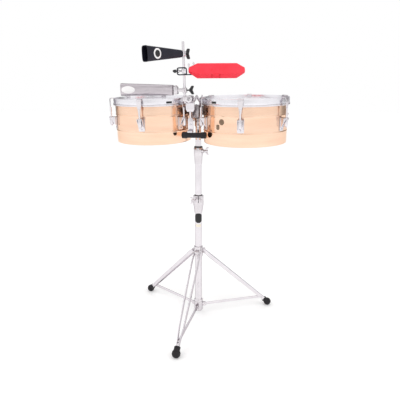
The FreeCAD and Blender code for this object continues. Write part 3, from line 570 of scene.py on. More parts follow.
CAMERA_FROM_AXIS = Vector((371.0, -1791.6, 1004.3))
CAMERA_PITCH, CAMERA_YAW = 76.88, 11.47
CAMERA_LENS = 36.63
FLOOR_REACH = 60.0


def add_camera():
    data = bpy.data.cameras.new("camera")
    data.lens = CAMERA_LENS
    data.sensor_width = 36.0
    data.clip_end = 200.0
    camera = shown("camera", data)
    camera.location = (AXIS + CAMERA_FROM_AXIS) * MM
    camera.rotation_euler = (math.radians(CAMERA_PITCH), 0, math.radians(CAMERA_YAW))
    bpy.context.scene.camera = camera


def add_floor():
    mesh = bpy.data.meshes.new("floor")
    corners = [(x * FLOOR_REACH, y * FLOOR_REACH, 0) for x, y in ((-1, -1), (1, -1), (1, 1), (-1, 1))]
    mesh.from_pydata(corners, [], [(0, 1, 2, 3)])
    material, tree, shader = new_material("floor")
    toned(tree, shader, noise(tree, EVEN, 3.0), (0.93, 0.93, 0.93), (0.95, 0.95, 0.95))
    shader.inputs["Emission Color"].default_value = (1, 1, 1, 1)
    shader.inputs["Emission Strength"].default_value = 0.16
    shader.inputs["Roughness"].default_value = 0.9
    shader.inputs["Specular IOR Level"].default_value = 0.1
    mesh.materials.append(material)
    shown("floor", mesh)


# How bright the studio is towards each side, from the audience's side (0) round to the far side (1).
STUDIO = ((0.0, 0.86), (0.10, 0.90), (0.20, 1.02), (0.45, 1.04), (0.58, 0.92), (0.70, 0.40), (0.79, 0.34),
    (0.88, 0.80), (1.0, 0.95))
STUDIO_STRENGTH, OVERHEAD_GAIN = 0.95, 1.35


def add_world():
    """A studio that is brighter overhead and has a darker band, and that the camera sees as white."""
    world = bpy.data.worlds.new("studio")
    bpy.context.scene.world = world
    world.use_nodes = True
    tree = world.node_tree
    tree.nodes.clear()
    where = added(tree, "ShaderNodeTexCoord")
    split = added(tree, "ShaderNodeSeparateXYZ")
    back = added(tree, "ShaderNodeMath", {1: -1.0}, operation="MULTIPLY")
    angle = added(tree, "ShaderNodeMath", operation="ARCTAN2")
    either = added(tree, "ShaderNodeMath", operation="ABSOLUTE")
    share = added(tree, "ShaderNodeMapRange", {"From Max": math.pi})
    ramp = ramped(tree, [(position, (level,) * 3) for position, level in STUDIO], "EASE")
    overhead = added(tree, "ShaderNodeMapRange", {"From Min": 0.25, "To Min": STUDIO_STRENGTH,
        "To Max": STUDIO_STRENGTH * OVERHEAD_GAIN})
    studio = added(tree, "ShaderNodeBackground")
    white = added(tree, "ShaderNodeBackground", {"Color": (1, 1, 1, 1), "Strength": 1.0})
    path = added(tree, "ShaderNodeLightPath")
    mix = added(tree, "ShaderNodeMixShader")
    out = added(tree, "ShaderNodeOutputWorld")
    linked(tree, (where, "Generated", split, "Vector"), (split, "Y", back, 0), (split, "X", angle, 0),
        (back, "Value", angle, 1), (angle, "Value", either, 0), (either, "Value", share, "Value"),
        (share, "Result", ramp, "Fac"), (split, "Z", overhead, "Value"),
        (overhead, "Result", studio, "Strength"), (ramp, "Color", studio, "Color"),
        (path, "Is Camera Ray", mix, "Fac"), (studio, "Background", mix, 1), (white, "Background", mix, 2),
        (mix, "Shader", out, "Surface"))


def add_light(name, place, size, power):
    """A soft square light, in metres, that faces the drums and leaves no reflection of its own."""
    data = bpy.data.lights.new(name, "AREA")
    data.shape = "SQUARE"
    data.size = size
    data.energy = power
    light = shown(name, data)
    light.visible_glossy = False
    light.location = place
    light.rotation_euler = (Vector((0, 0, 0.9)) - Vector(place)).to_track_quat("-Z", "Y").to_euler()


add_camera()
add_floor()
add_world()
add_light("key", (-1.6, -2.4, 2.8), 1.6, 12)
add_light("fill", (2.6, -1.4, 1.9), 1.8, 7)
bpy.context.scene.view_settings.view_transform = "Standard"


# ---- stand ----

TUBE_WALL = 1.3
CAMERA_SIDE = math.degrees(math.atan2(CAMERA_FROM_AXIS.y, CAMERA_FROM_AXIS.x))


def stand_tube(node, body, wall=TUBE_WALL):
    low, high = span(node, STAND)
    outer = (high.x - low.x) / 2
    piece(node, body, "chrome", STAND, hollow(outer - wall, outer, low.z, high.z, 0.5, 80))
    return outer


LOWER_R = stand_tube("lower_tube", "base")
MIDDLE_R = stand_tube("middle_tube", "mast")
STEM_R = stand_tube("stem_tube", "stem", 1.5)


def tube_labels():
    """A blank badge and a sticker under the height clamp, on the side that faces the audience."""
    clamp_base = span("height_clamp", STAND)[0].z
    badge = curved_label(38, 46, 17, LOWER_R + 0.05)
    piece("lower_tube_badge", "base", "label_black", STAND,
        placed(badge, turn(CAMERA_SIDE) @ shift(0, 0, clamp_base - 24)))
    sticker = curved_label(26, 13, 1.5, LOWER_R + 0.05, 0.3)
    piece("lower_tube_sticker", "base", "label_beige", STAND, placed(sticker,
        turn(CAMERA_SIDE) @ shift(0, 0, clamp_base - 60)))


def leg_azimuth(number):
    hinge_axis = axis_of(f"leg_{number}_hinge")
    return math.degrees(math.atan2(-hinge_axis.x, hinge_axis.y))


LEG_AZIMUTHS = {number: leg_azimuth(number) for number in (1, 2, 3)}
LEG_TURNS = [turn(azimuth) for azimuth in LEG_AZIMUTHS.values()]
FIRST_LEG = STAND @ LEG_TURNS[0]
LEG_PIVOT = FIRST_LEG.inverted() @ spot("leg_1_hinge")
BRACE_PIVOT = FIRST_LEG.inverted() @ spot("leg_1_brace_hinge")
MOUNTS = {mount["name"]: Vector(mount["pos_m"]) / MM for mount in frame["record"]["mounts"]}
FOOT_REACH = (FIRST_LEG.inverted() @ MOUNTS["leg_1_tread"]).x
PIN_R = 3.0


def pivot_ear(start, pivot, radius, low, high, soft):
    """A flat ear with a round end about a pivot, from start out along X and from low to high in Y."""
    outline = rectangle(start, pivot.x + radius, pivot.z - radius, pivot.z + radius, [0, radius, radius, 0],
        8)
    return panel(outline, low, high, soft)


def bottom_hub():
    low, high = heights("tube_bottom_hub", STAND)
    outer, socket_r = 20.0, LOWER_R + 0.05
    core = turned([(outer * 0.5, low), (outer * 0.82, low + 3), (outer, low + 9), (outer, high - 4),
        (outer - 1, high - 1.5), (outer - 3, high), (socket_r, high), (socket_r, low + 7)], 72)
    groove = lathe([(outer - 0.8, high - 12), (outer + 2, high - 12), (outer + 2, high - 10),
        (outer - 0.8, high - 10)], 72)
    ear_thick, half_slot = 4.0, 3.2
    ears = [pivot_ear(17.5, BRACE_PIVOT, 9.0, side, side + ear_thick, 0.7)
            for side in (half_slot, -half_slot - ear_thick)]
    piece("tube_bottom_hub", "base", "zinc_casting", STAND, carved(core, groove),
        copies(joined(*ears), LEG_TURNS))
    pin = moved(pin_with_heads(PIN_R, half_slot + ear_thick), BRACE_PIVOT.x, 0, BRACE_PIVOT.z)
    piece("hub_pins", "base", "chrome", STAND, copies(pin, LEG_TURNS))


def screw_boss(joint, start, radius, chamfer):
    """The round boss that a stand bolt's hub seats on, from start out to the bolt's joint."""
    seat = STAND.inverted() @ spot(joint)
    reach = math.hypot(seat.x, seat.y)
    boss = turned([(radius, start), (radius, reach - chamfer), (radius - 1.5, reach)], 32)
    return placed(boss, shift(0, 0, seat.z) @ turn(math.degrees(math.atan2(seat.y, seat.x))) @ along("x"))


def leg_collar():
    low, high = heights("leg_collar", STAND)
    core = lathe(rectangle(LOWER_R + 0.15, 20.5, low, high, [0.5, 3, 3, 0.5]), 72)
    half = 10.0
    ear = pivot_ear(18, LEG_PIVOT, 9.5, -half, half, 1.0)
    piece("leg_collar", "leg_collar", "zinc_casting", STAND, core, copies(ear, LEG_TURNS),
        screw_boss("leg_collar_wing_bolt_turn", 17, 9, 1.5))
    pin = moved(pin_with_heads(PIN_R, half + 5.9), LEG_PIVOT.x, 0, LEG_PIVOT.z)
    piece("leg_collar_pins", "leg_collar", "chrome", STAND, copies(pin, LEG_TURNS))
    wing_bolt("leg_collar_wing_bolt", (3.5, 3, 6, 11, 32, 12), 0.3)


BALL_R, BALL_BACK, BALL_HEIGHT, TREAD_DEPTH = 18.2, 3.0, 16.4, 0.6
SLEEVE_R, SLEEVE_TOP, SLEEVE_END = 13.3, 31.5, 11.5
STRIP_HALF_WIDTH, STRIP_THICK = 8.6, 4.0
# Half the gap between a leg's two strips, by share of their length.
STRIP_HALF_GAP = ((0.0, 10.4), (0.05, 12.8), (0.12, 13.6), (0.5, 11.2), (0.82, 8.2), (0.93, 3.9), (1.0, 3.5))
RIVET_FROM_FOOT, RIVET_R, RIVET_HALF = 51.4, 2.8, 6.2
BRACE_HALF_WIDTH, BRACE_HALF_THICK = 6.6, 2.6


def leg_strips(length, rivet):
    """Two strips from the collar to the foot's sleeve, and the rivet that closes them, along Z."""
    end = length - SLEEVE_TOP + 6
    parts = []
    for side in (1, -1):
        path = rounded([(side * (gap + 1.6), share * end) for share, gap in STRIP_HALF_GAP], 40, 6,
            closed=False)
        path.insert(0, Vector((side * (STRIP_HALF_GAP[0][1] + 1.6), -6.5)))
        parts.append(placed(ribbon(path, [STRIP_HALF_WIDTH] * len(path), STRIP_THICK), turn(90)))
    gap = RIVET_HALF
    head = lathe([(0, gap), (4.5, gap), (4.5, gap + 1), (2.5, gap + 2.4), (0, gap + 2.6)], 20)
    parts += [placed(head, shift(0, 0, rivet) @ along(side)) for side in ("y", "-y")]
    parts.append(placed(rod(RIVET_R, -gap, gap), shift(0, 0, rivet) @ along("y")))
    return joined(*parts)


def leg_foot(length):
    """A rubber ball with its sleeve, along Z."""
    sleeve = turned([(SLEEVE_R - 2, length - SLEEVE_TOP), (SLEEVE_R, length - SLEEVE_TOP + 2),
        (SLEEVE_R, length - 14.5), (SLEEVE_R - 1.2, length - 12.8), (SLEEVE_R - 1.2, length - SLEEVE_END)],
        48)
    centre = length - BALL_BACK
    outline = [(BALL_R * math.sin(math.radians(a)), centre - BALL_R * math.cos(math.radians(a)))
               for a in range(45, 180, 5)]
    ball = lathe([(0, outline[0][1]), *outline, (0, centre + BALL_R)], 56)
    return joined(sleeve, ball)


def tripod():
    foot = Vector((FOOT_REACH, 0, BALL_HEIGHT))
    down = (foot - LEG_PIVOT).normalized()
    length = (foot - LEG_PIVOT).length
    rivet = length - RIVET_FROM_FOOT
    leg_frame = aimed(LEG_PIVOT, down, Y_AXIS.cross(down))
    strips = leg_strips(length, rivet)
    points, faces = placed(leg_foot(length), leg_frame)
    rubber = ([Vector((x, y, z if z > TREAD_DEPTH else 0.0)) for x, y, z in points], faces)
    brace_start = Vector((BRACE_PIVOT.x, 0, BRACE_PIVOT.z))
    brace_end = LEG_PIVOT + down * rivet
    brace_end.y = 0
    run = brace_end - brace_start
    brace_frame = aimed(brace_start, run.cross(Y_AXIS), run)
    wide = BRACE_HALF_WIDTH
    outline = rectangle(-wide, run.length + wide, -wide, wide, wide, 8)
    bar = placed(slab(outline, -BRACE_HALF_THICK, BRACE_HALF_THICK, 0.8), turn(90, "X"))
    for number, azimuth in LEG_AZIMUTHS.items():
        at, leg = STAND @ turn(azimuth), f"leg_{number}"
        piece(f"{leg}_strips", leg, "chrome", at @ leg_frame, strips)
        piece(f"{leg}_foot", leg, "black_rubber", Matrix.Identity(4), placed(rubber, at))
        piece(f"{leg}_brace", f"{leg}_brace", "chrome", at @ brace_frame, bar)


def clamp_core(inner, neck, outer, base, shoulder, top, seat_r, seat_z, steps):
    """A tube clamp's casting: a neck that widens to a collar, with a seat for its bushing."""
    return lathe([(inner, base), (neck, base), (neck + 0.5, base + 2), (outer - 1.8, shoulder),
        (outer, shoulder + 3), (outer, top - 2.5), (outer - 0.8, top - 0.8), (outer - 2.5, top),
        (seat_r, top), (seat_r, seat_z), (inner, seat_z)], steps)


HEIGHT_CLAMP_R, HEIGHT_CLAMP_SHOULDER = 23.5, 553.0
UPPER_CLAMP_R, UPPER_CLAMP_SHOULDER = 20.5, 781.0
UPPER_SLEEVE_R = 16.6


def height_clamp():
    low, high = heights("height_clamp", STAND)
    bushing_low, bushing_high = span("height_clamp_bushing", STAND)
    seat_r = (bushing_high.x - bushing_low.x) / 2 + 0.05
    outer = HEIGHT_CLAMP_R
    core = clamp_core(LOWER_R + 0.05, 17.6, outer, low, HEIGHT_CLAMP_SHOULDER, high, seat_r,
        bushing_low.z - 0.2, 80)
    wing = STAND.inverted() @ spot("height_wing_bolt_turn")
    axis = axis_of("height_wing_bolt_turn")
    reach = math.hypot(wing.x, wing.y)
    lug = panel(rectangle(-10, 10, wing.z - 12, wing.z + 12, 3), -reach - 6, -outer + 3, 1.5)
    slot = brick(-1.6, 1.6, -outer - 20, -19, wing.z - 13, high + 5, 0)
    nut = placed(hexagon(6.5, 10, 14.5), shift(0, -reach, wing.z) @ along("x"))
    across = turn(math.degrees(math.atan2(-axis.x, axis.y)) + 270)
    piece("height_clamp", "base", "zinc_casting", STAND,
        placed(joined(carved(core, slot), carved(lug, slot), nut), across))
    piece("height_clamp_bushing", "base", "nylon", STAND, hollow(MIDDLE_R + 0.1, seat_r - 0.05,
        bushing_low.z, bushing_high.z, 0.7))
    wing_bolt("height_wing_bolt", (4.0, 32, 6.5, 12, 34, 14), -11.5)


def upper_clamp():
    low, high = heights("upper_clamp", STAND)
    sleeve_low, sleeve_high = heights("upper_clamp_sleeve", STAND)
    core = clamp_core(MIDDLE_R + 0.05, 16.2, UPPER_CLAMP_R, low, UPPER_CLAMP_SHOULDER, high,
        UPPER_SLEEVE_R + 0.1, sleeve_low - 0.3, 72)
    piece("upper_clamp", "mast", "zinc_casting", STAND, core,
        screw_boss("upper_wing_bolt_turn", 17.5, 9.5, 2))
    wing_bolt("upper_wing_bolt", (3.5, 4, 6.5, 13, 36, 15), 0.3)
    inner, flange_z = STEM_R + 0.1, high + 0.3
    outline = rounded([(inner, sleeve_low), (UPPER_SLEEVE_R, sleeve_low), (UPPER_SLEEVE_R, flange_z),
        (18.6, flange_z), (18.6, sleeve_high), (inner, sleeve_high)], [0.3, 0.3, 0, 0.3, 1, 0.3], 3)
    piece("upper_clamp_sleeve", "upper_clamp_sleeve", "nylon", STAND, lathe(outline, 72))


def tilter():
    low, high = span("tilter_head", STAND)
    pivot, top, outer = TILT_PIN.z, 950.0, 16.0
    collar = turned([(outer - 3, top), (outer - 0.8, top - 1.2), (outer, top - 4), (outer, low.z + 2),
        (outer - 1, low.z), (STEM_R + 0.05, low.z), (STEM_R + 0.05, top - 3.8)], 64)
    ear_r, half = 12.0, 6.0
    ear = panel(rectangle(-ear_r, ear_r, top - 2, pivot + ear_r, [0, 0, ear_r, ear_r], 10), -half, half, 0.8)
    pin = placed(rod(4.0, low.x, high.x, 0.5), shift(0, 0, pivot) @ along("x"))
    piece("tilter_head", "stem", "zinc_casting", STAND, collar, placed(ear, turn(90)), pin)


tube_labels()
bottom_hub()
leg_collar()
tripod()
height_clamp()
upper_clamp()
tilter()


# ---- bridge between the drums ----

PLATE_LOW, PLATE_HIGH = span("front_plate", BRIDGE)
ARM_X = (PLATE_LOW.x + PLATE_HIGH.x) / 2
ARM_BASE = 989.0
BLOCK_FRONT = -47.0
DRUM_PIN_R, DRUM_PIN_PLACES = 5.0, (-24.0, 4.0)
SWAP_X_Y = Matrix(((0, 1, 0, 0), (1, 0, 0, 0), (0, 0, 1, 0), (0, 0, 0, 1)))


def bridge_block():
    """The cast block over the tilt pin, its arm to the front plate and the four pins the drums slide on."""
    low, high = span("bridge_block", BRIDGE)
    pins_low, pins_high = span("drum_pins", BRIDGE)
    body = brick(low.x, high.x, BLOCK_FRONT, high.y, low.z, high.z, 3.5)
    slot = brick(-6.4, 6.4, -22, 20, low.z - 5, TILT_PIN.z + 14, 0)
    windows = [brick(x - 5, x + 4, -36, 14, low.z + 6, low.z + 20, 0) for x in (low.x, high.x + 1)]
    arm = brick(ARM_X - 7, ARM_X + 7, PLATE_HIGH.y, BLOCK_FRONT + 1.5, ARM_BASE, high.z, 2.0)
    rib = panel([(BLOCK_FRONT + 2, ARM_BASE + 2), (BLOCK_FRONT + 2, low.z + 8),
        (PLATE_HIGH.y + 14, ARM_BASE + 2)], ARM_X - 2.5, ARM_X + 2.5, 0.8)
    screws = [moved(screw(4.2, 2.2), x, y, high.z - 0.1) for x in (low.x + 9, high.x - 9) for y in (-38, 17)]
    # The block takes the darker copy of the casting colour: painted shade for its place between the drums.
    piece("bridge_block", "bridge", "shaded_casting", BRIDGE, carved(body, slot, *windows), arm,
        placed(rib, SWAP_X_Y), *screws)
    pin_z = (pins_low.z + pins_high.z) / 2
    pins = [placed(rod(DRUM_PIN_R, start, end, 0.8), shift(0, y, pin_z) @ along("x")) for y in DRUM_PIN_PLACES
            for start, end in ((pins_low.x, low.x + 8), (high.x - 8, pins_high.x))]
    piece("drum_pins", "bridge", "chrome", BRIDGE, *pins)


def front_plate():
    half = (PLATE_HIGH.x - PLATE_LOW.x) / 2
    top, base, face = PLATE_HIGH.z, PLATE_LOW.z, PLATE_LOW.y
    outline = rounded([(-half, top), (half, top), (half, base + 10), (half - 6, base), (-half + 6, base),
        (-half, base + 10)], [3, 3, 4, 3, 3, 4])
    plate = moved(panel(outline, face, PLATE_HIGH.y, 1.0), ARM_X)
    recess = moved(panel(rectangle(-half + 5, half - 5, base + 12, top - 9, 2), face - 3, face + 0.7, 0),
        ARM_X)
    screws = [screw_at(2.6, 1.4, ARM_X + x, face + 0.1, top - 5, "-y") for x in (-half + 5, half - 5)]
    piece("front_plate", "bridge", "chrome", BRIDGE, carved(plate, recess), *screws)


def bumper():
    """The hanger under the front plate and the rubber bar on it."""
    low, high = span("bumper_hanger", BRIDGE)
    top, half = 961.0, 11.0
    neck = moved(rod(5.0, top - 2, PLATE_LOW.z + 2, 0.5), ARM_X, (PLATE_LOW.y + PLATE_HIGH.y) / 2)
    outline = rounded([(-half, low.z), (half, low.z), (half, top - 6), (5.5, top), (-5.5, top),
        (-half, top - 6)], [1, 1, 4, 3, 3, 4])
    body = moved(panel(outline, PLATE_LOW.y, PLATE_HIGH.y, 0.9), ARM_X)
    toe = brick(ARM_X - half, ARM_X + half, low.y, PLATE_HIGH.y, low.z, low.z + 7, 1.2)
    fixing = screw_at(4.0, 2.4, ARM_X, PLATE_LOW.y + 0.1, (low.z + top) / 2 + 2, "-y")
    piece("bumper_hanger", "bridge", "chrome", BRIDGE, neck, body, toe, fixing)

    low, high = span("bumper_bar", BRIDGE)
    end_r, mid_r = (high.z - low.z) / 2, 11.0
    outline = rounded([(0, low.x), (end_r, low.x), (end_r, low.x + 20), (mid_r, low.x + 24),
        (mid_r, high.x - 24), (end_r, high.x - 20), (end_r, high.x), (0, high.x)], [0, 5, 4, 3, 3, 4, 5, 0],
        5, closed=False)
    bar = placed(lathe(outline, 48), shift(0, (low.y + high.y) / 2, (low.z + high.z) / 2) @ along("x"))
    piece("bumper_bar", "bridge", "black_rubber", BRIDGE, bar)


POST_X, POST_Y = -28.6, -126.0
KNOB_R, KNOB_FLUTE, KNOB_FLUTES = 14.4, 0.8, 20


def accessory_post():
    """The post for the bells and the block, and the clamp that holds it to the front plate."""
    at = aimed(spot("accessory_post_swivel"), axis_of("accessory_post_swivel"), X_AXIS)
    low, high = span("accessory_post", at)
    radius = (high.x - low.x) / 2
    outline = [(0, low.z), (radius - 1, low.z), (radius, low.z + 1), (radius, high.z - 1.4),
        (radius - 1.2, high.z - 0.2), (0, high.z - 0.2)]
    piece("accessory_post", "accessory_post", "chrome", at, lathe(outline, 40))
    low, high = span("post_clamp", BRIDGE)
    body = brick(low.x, high.x, low.y, POST_Y + 10, low.z, high.z, 3)
    saddle = brick(-26, 3, POST_Y + 8, high.y, low.z, high.z, 2)
    bore = moved(rod(radius + 0.08, low.z - 5, high.z + 5, 0), POST_X, POST_Y)
    saw = brick(-28, 8, POST_Y - 1, POST_Y + 1, low.z - 5, high.z + 5, 0)
    piece("post_clamp", "bridge", "zinc_casting", BRIDGE, carved(body, bore, saw), saddle)


def post_clamp_knob():
    at = bolt_frame("post_clamp_knob_turn")
    low, high = heights("post_clamp_knob", at)
    grip = []
    for step in range(2 * KNOB_FLUTES):
        radius, angle = KNOB_R - KNOB_FLUTE * (step % 2), math.pi * step / KNOB_FLUTES
        grip.append((radius * math.cos(angle), radius * math.sin(angle)))
    knob = slab(grip, high - 8, high, 0.5, 60)
    face = turned([(9, high - 1), (9, high - 0.2), (8, high)], 40)
    neck = turned([(7, high - 11), (9, high - 8), (9, high - 7)], 32)
    piece("post_clamp_knob", "post_clamp_knob", "chrome", at, knob, face, neck, rod(PIN_R, low, high - 9))


bridge_block()
front_plate()
bumper()
for drum_lock in ("left_drum_lock", "right_drum_lock"):
    wing_bolt(drum_lock, (3.0, 14, 5.5, 14, 28, 27), x_hint=X_AXIS)
wing_bolt("tilt_wing_bolt", (4.0, 24, 6.5, 12, 36, 14), x_hint=X_AXIS)
accessory_post()
post_clamp_knob()


# ---- drums ----

LUG_TURNS = [turn(angle) for angle in (-150, -90, -30, 30, 90, 150)]
SHELL_WALL = 1.5
BEAD_RISE, BEAD_HALF, BEAD_HEIGHTS = 1.6, 4.5, (52.0, 118.5)
ROD_FROM_SHELL = 22.0
RIM_FROM_SHELL, RIM_THICK = 4.0, 2.5
RIM_LABEL_AZIMUTH = {"left": -50.0, "right": -127.0}
BADGE_AZIMUTH, BADGE_R, BADGE_HEIGHT = -116.0, 12.0, 98.0
STAMP_AZIMUTH, STAMP_HEIGHT = -122.0, 77.0


def ease(t):
    """Runs smoothly from 0 to 1, and stays there outside that range."""
    t = min(max(t, 0), 1)
    return t * t * (3 - 2 * t)


def shell(side, at, outer):
    """A drum's shell: a rolled foot, two beads and a rounded bearing edge."""
    base, top = heights(f"{side}_shell", at)
    steps = 6
    bead = [(BEAD_RISE * (1 + math.cos(math.pi * step / steps)) / 2, BEAD_HALF * step / steps)
            for step in range(-steps, steps + 1)]
    beads = [(rise, base + height + z) for height in BEAD_HEIGHTS for rise, z in bead]
    inner = outer - SHELL_WALL
    foot = [(inner, base + 5), (inner - 0.8, base + 3), (inner - 3.5, base + 2.6), (inner - 4, base + 1.2),
        (inner - 3, base + 0.1), (outer - 1.8, base), (outer - 0.4, base + 1), (outer, base + 3)]
    edge = [(outer, top - 2), (outer - 0.2, top - 0.6), (outer - 0.75, top), (inner + 0.2, top - 0.6),
        (inner, top - 2)]
    outside = [(outer + rise, z) for rise, z in beads]
    inside = [(inner + rise, z) for rise, z in beads[::-1]]
    piece(f"{side}_shell", f"{side}_drum", "shell_bronze", at,
          lathe(foot + outside + edge + inside, 240), sharp=50)
    return base


def head_and_hoops(side, at, level, outer):
    """The film with its collar, the flesh hoop that grips it and the flanged rim over it."""
    hem, crown = heights(f"{side}_head", at)
    flat = [(outer - 5) * k / 6 for k in range(1, 7)]
    film = [(0, crown), *((r, crown) for r in flat), (outer - 2, crown - 0.15), (outer, crown - 0.8),
        (outer + 1.2, crown - 2.2), (outer + 1.5, crown - 4.5), (outer + 1.5, hem), (outer + 0.5, hem),
        (outer + 0.5, crown - 4.2), (outer - 0.2, crown - 1.9), (outer - 2.4, crown - 1.0),
        *((r, crown - 0.9) for r in flat[::-1]), (0, crown - 0.9)]
    piece(f"{side}_head", f"{side}_drum", "head_film", at, lathe(film, 240))
    low, high = heights(f"{side}_flesh_hoop", at)
    piece(f"{side}_flesh_hoop", f"{side}_drum", "chrome", at,
        lathe(rectangle(outer + 2, outer + 8, low, high, 1.6, 4), 240))
    base, top = heights(f"{side}_rim", at)
    inner_r = outer + RIM_FROM_SHELL
    outer_r = inner_r + RIM_THICK
    rim = [(inner_r, base), (outer_r + 1.5, base), (outer_r + 1.7, base + 0.7), (outer_r + 1.3, base + 1.3),
        (outer_r + 0.8, base + 1.5), (outer_r, base + 2.6), (outer_r, top - 1.3),
        (outer_r - 0.5, top - 0.3), (outer_r - 1.25, top), (inner_r + 0.5, top - 0.3), (inner_r, top - 1.3)]
    piece(f"{side}_rim", f"{side}_rim", "rim_chrome", at, lathe(rim, 240))
    mark = placed(curved_label(25, 8.5, 1.6, outer_r + 0.05),
        turn(RIM_LABEL_AZIMUTH[side]) @ shift(0, 0, base + 8.5))
    piece(f"{side}_rim_label", f"{side}_rim", "label_black", level, mark)


def lugs(side, at, outer):
    """Six brackets: a back plate, a shelf for the nut, two cheeks, two screws and a collar."""
    base, shelf = heights(f"{side}_lugs", at)
    plate_half, half, reach, cheek_thick = 14.0, 12.0, 30.0, 2.5
    back = panel(rectangle(-plate_half, plate_half, base, shelf, [5, 5, 1.5, 1.5]), -(outer + 3),
        -(outer + 0.2), 0.7)
    top_plate = slab(rectangle(outer + 1, outer + reach, -half, half, [0, 5, 5, 0]), shelf - 3.5, shelf, 0.7)
    cheek = rounded([(outer + 2, shelf - 1.5), (outer + reach - 3, shelf - 1.5),
        (outer + reach - 3, shelf - 6), (outer + 12, shelf - 30), (outer + 2, shelf - 42)],
        [0, 0, 3, 10, 2])
    cheeks = [panel(cheek, y, y + cheek_thick, 0.6) for y in (-half, half - cheek_thick)]
    screws = [screw_at(3.4, 2.0, outer + 2.9, 0, base + rise, "x") for rise in (8, 27)]
    collar = moved(hollow(4.4, 7.0, shelf - 0.2, shelf + 1.8, 0.4, 32), outer + ROD_FROM_SHELL)
    lug = joined(placed(back, turn(90)), top_plate, *cheeks, *screws, collar)
    piece(f"{side}_lugs", f"{side}_drum", "chrome", at, copies(lug, LUG_TURNS))
    low, high = heights(f"{side}_tuning_nuts", at)
    nut = joined(hexagon(8.0, low, high - 3, 0.6), hollow(4.2, 8.8, high - 2.8, high, 0.4, 32))
    piece(f"{side}_tuning_nuts", f"{side}_drum", "chrome", at,
        copies(moved(nut, outer + ROD_FROM_SHELL), LUG_TURNS))


def claws(side, at, outer):
    """Six straps that hook over the rim, narrow on their way down and end in threaded rods."""
    low, high = heights(f"{side}_claws", at)
    rim_top = heights(f"{side}_rim", at)[1]
    crest, rod_x = high - 1.3, outer + ROD_FROM_SHELL
    wide, narrow, strap_end = 10.0, 4.4, 985.0
    path = rounded([(outer + 2.2, rim_top - 11), (outer + 2.2, crest), (rod_x, crest), (rod_x, strap_end)],
        [0, 3.2, 7.5, 0], 8, closed=False)
    path[-1:] = [Vector((rod_x, z)) for z in (1020, 1008, 996, strap_end)]
    widths = [wide - (wide - narrow) * ease((crest - z - 14) / 40) if x > rod_x - 0.5 else wide for x,
        z in path]
    tail = moved(joined(rod(4.0, 955, 1004, 0.6), threaded(3.9, low, 956)), rod_x)
    piece(f"{side}_claws", f"{side}_rim", "chrome", at, copies(joined(ribbon(path, widths, 2.6), tail),
        LUG_TURNS))


def mount_bracket(side, at, outer):
    """The plate and socket that slide on the bridge's pins."""
    low, high = span(f"{side}_mount_bracket", at)
    half = 24
    plate = panel(rectangle(-half, half, low.z, high.z, 5), -(outer + 4), -(outer + 1.9), 0.6)
    socket = brick(outer + 3.2, high.x, -half, half, high.z - 20, high.z, 3)
    bores = [placed(rod(DRUM_PIN_R + 0.1, outer, high.x + 5, 0), shift(0, y, high.z - 9.5) @ along("x"))
             for y in (-14, 14)]
    fixings = [screw_at(3.4, 2.0, outer + 3.9, y, low.z + 7, "x") for y in (-15, 15)]
    # The bracket takes the darker copy of the casting colour: painted shade for its place between the drums.
    piece(f"{side}_mount_bracket", f"{side}_drum", "shaded_casting", at, placed(plate, turn(90)),
        carved(socket, *bores), *fixings)


def shell_badges(level, outer, base):
    """Two blank marks on the right shell."""
    badge = curved_label(2 * BADGE_R, 2 * BADGE_R, BADGE_R, outer + 0.05, 0.5)
    piece("right_shell_badge", "right_drum", "label_dark", level,
        placed(badge, turn(BADGE_AZIMUTH) @ shift(0, 0, base + BADGE_HEIGHT)))
    stamp = curved_label(16, 21, 6, outer + 0.05, 0.4)
    piece("right_shell_stamp", "right_drum", "label_dark", level,
        placed(stamp, turn(STAMP_AZIMUTH) @ shift(0, 0, base + STAMP_HEIGHT)))


def drum(side):
    low, high = span(f"{side}_shell", BRIDGE)
    outer = (high.x - low.x) / 2 - BEAD_RISE
    level = BRIDGE @ shift((low.x + high.x) / 2, (low.y + high.y) / 2)
    at = level @ turn(0 if side == "left" else 180)
    base = shell(side, at, outer)
    head_and_hoops(side, at, level, outer)
    lugs(side, at, outer)
    claws(side, at, outer)
    mount_bracket(side, at, outer)
    if side == "right":
        shell_badges(level, outer, base)


drum("left")
drum("right")


# ---- bells and block ----

BELL_WALL, BELL_SQUARENESS = 2.0, 4.5


def bell_section(x, half_y, half_z, count=56):
    """A rounded rectangle square to X."""
    points = []
    power = 2.0 / BELL_SQUARENESS
    for step in range(count):
        angle = math.tau * (step + 0.5) / count
        c, s = math.cos(angle), math.sin(angle)
        points.append((x, half_y * math.copysign(abs(c) ** power, c),
            half_z * math.copysign(abs(s) ** power, s)))
    return points


def bell_body(start, length, mouth, closed):
    """A hollow bell along X, open at its far end, with a rounded back and a rolled lip."""
    wall, end = BELL_WALL, start + length

    def size(t, less=0.0):
        return [closed[axis] + (mouth[axis] - closed[axis]) * t - less for axis in (0, 1)]

    back = ((0.55, 0.0), (0.85, 0.6), (0.96, 1.8), (1.0, 4.0))
    sections = [bell_section(start + out, closed[0] * share, closed[1] * share) for share, out in back]
    for step in range(1, 11):
        t = step / 10 * (length - 5) / length
        sections.append(bell_section(start + length * t, *size(t)))
    for x, grow in ((end - 2.6, 0.25), (end - 1.2, 0.35), (end - 0.2, 0.0), (end, -0.9), (end - 0.4, -wall)):
        sections.append(bell_section(x, *size(1.0, -grow)))
    for step in range(9, 0, -1):
        sections.append(bell_section(start + wall + (length - wall) * step / 10, *size(step / 10, wall)))
    for share, out in ((0.9, 1.6), (0.5, 0.2)):
        sections.append(bell_section(start + wall + out, *(value * share for value in size(0, wall))))
    return skinned(sections)


def sloped(node, at, reach):
    """The turn that slopes a bell or block as its CAD node slopes, from the middle of its far end."""
    end = [point.z for point in node_points(node, at) if point.x > reach - 12]
    return turn(-math.degrees(math.atan2((min(end) + max(end)) / 2, reach)), "Y")


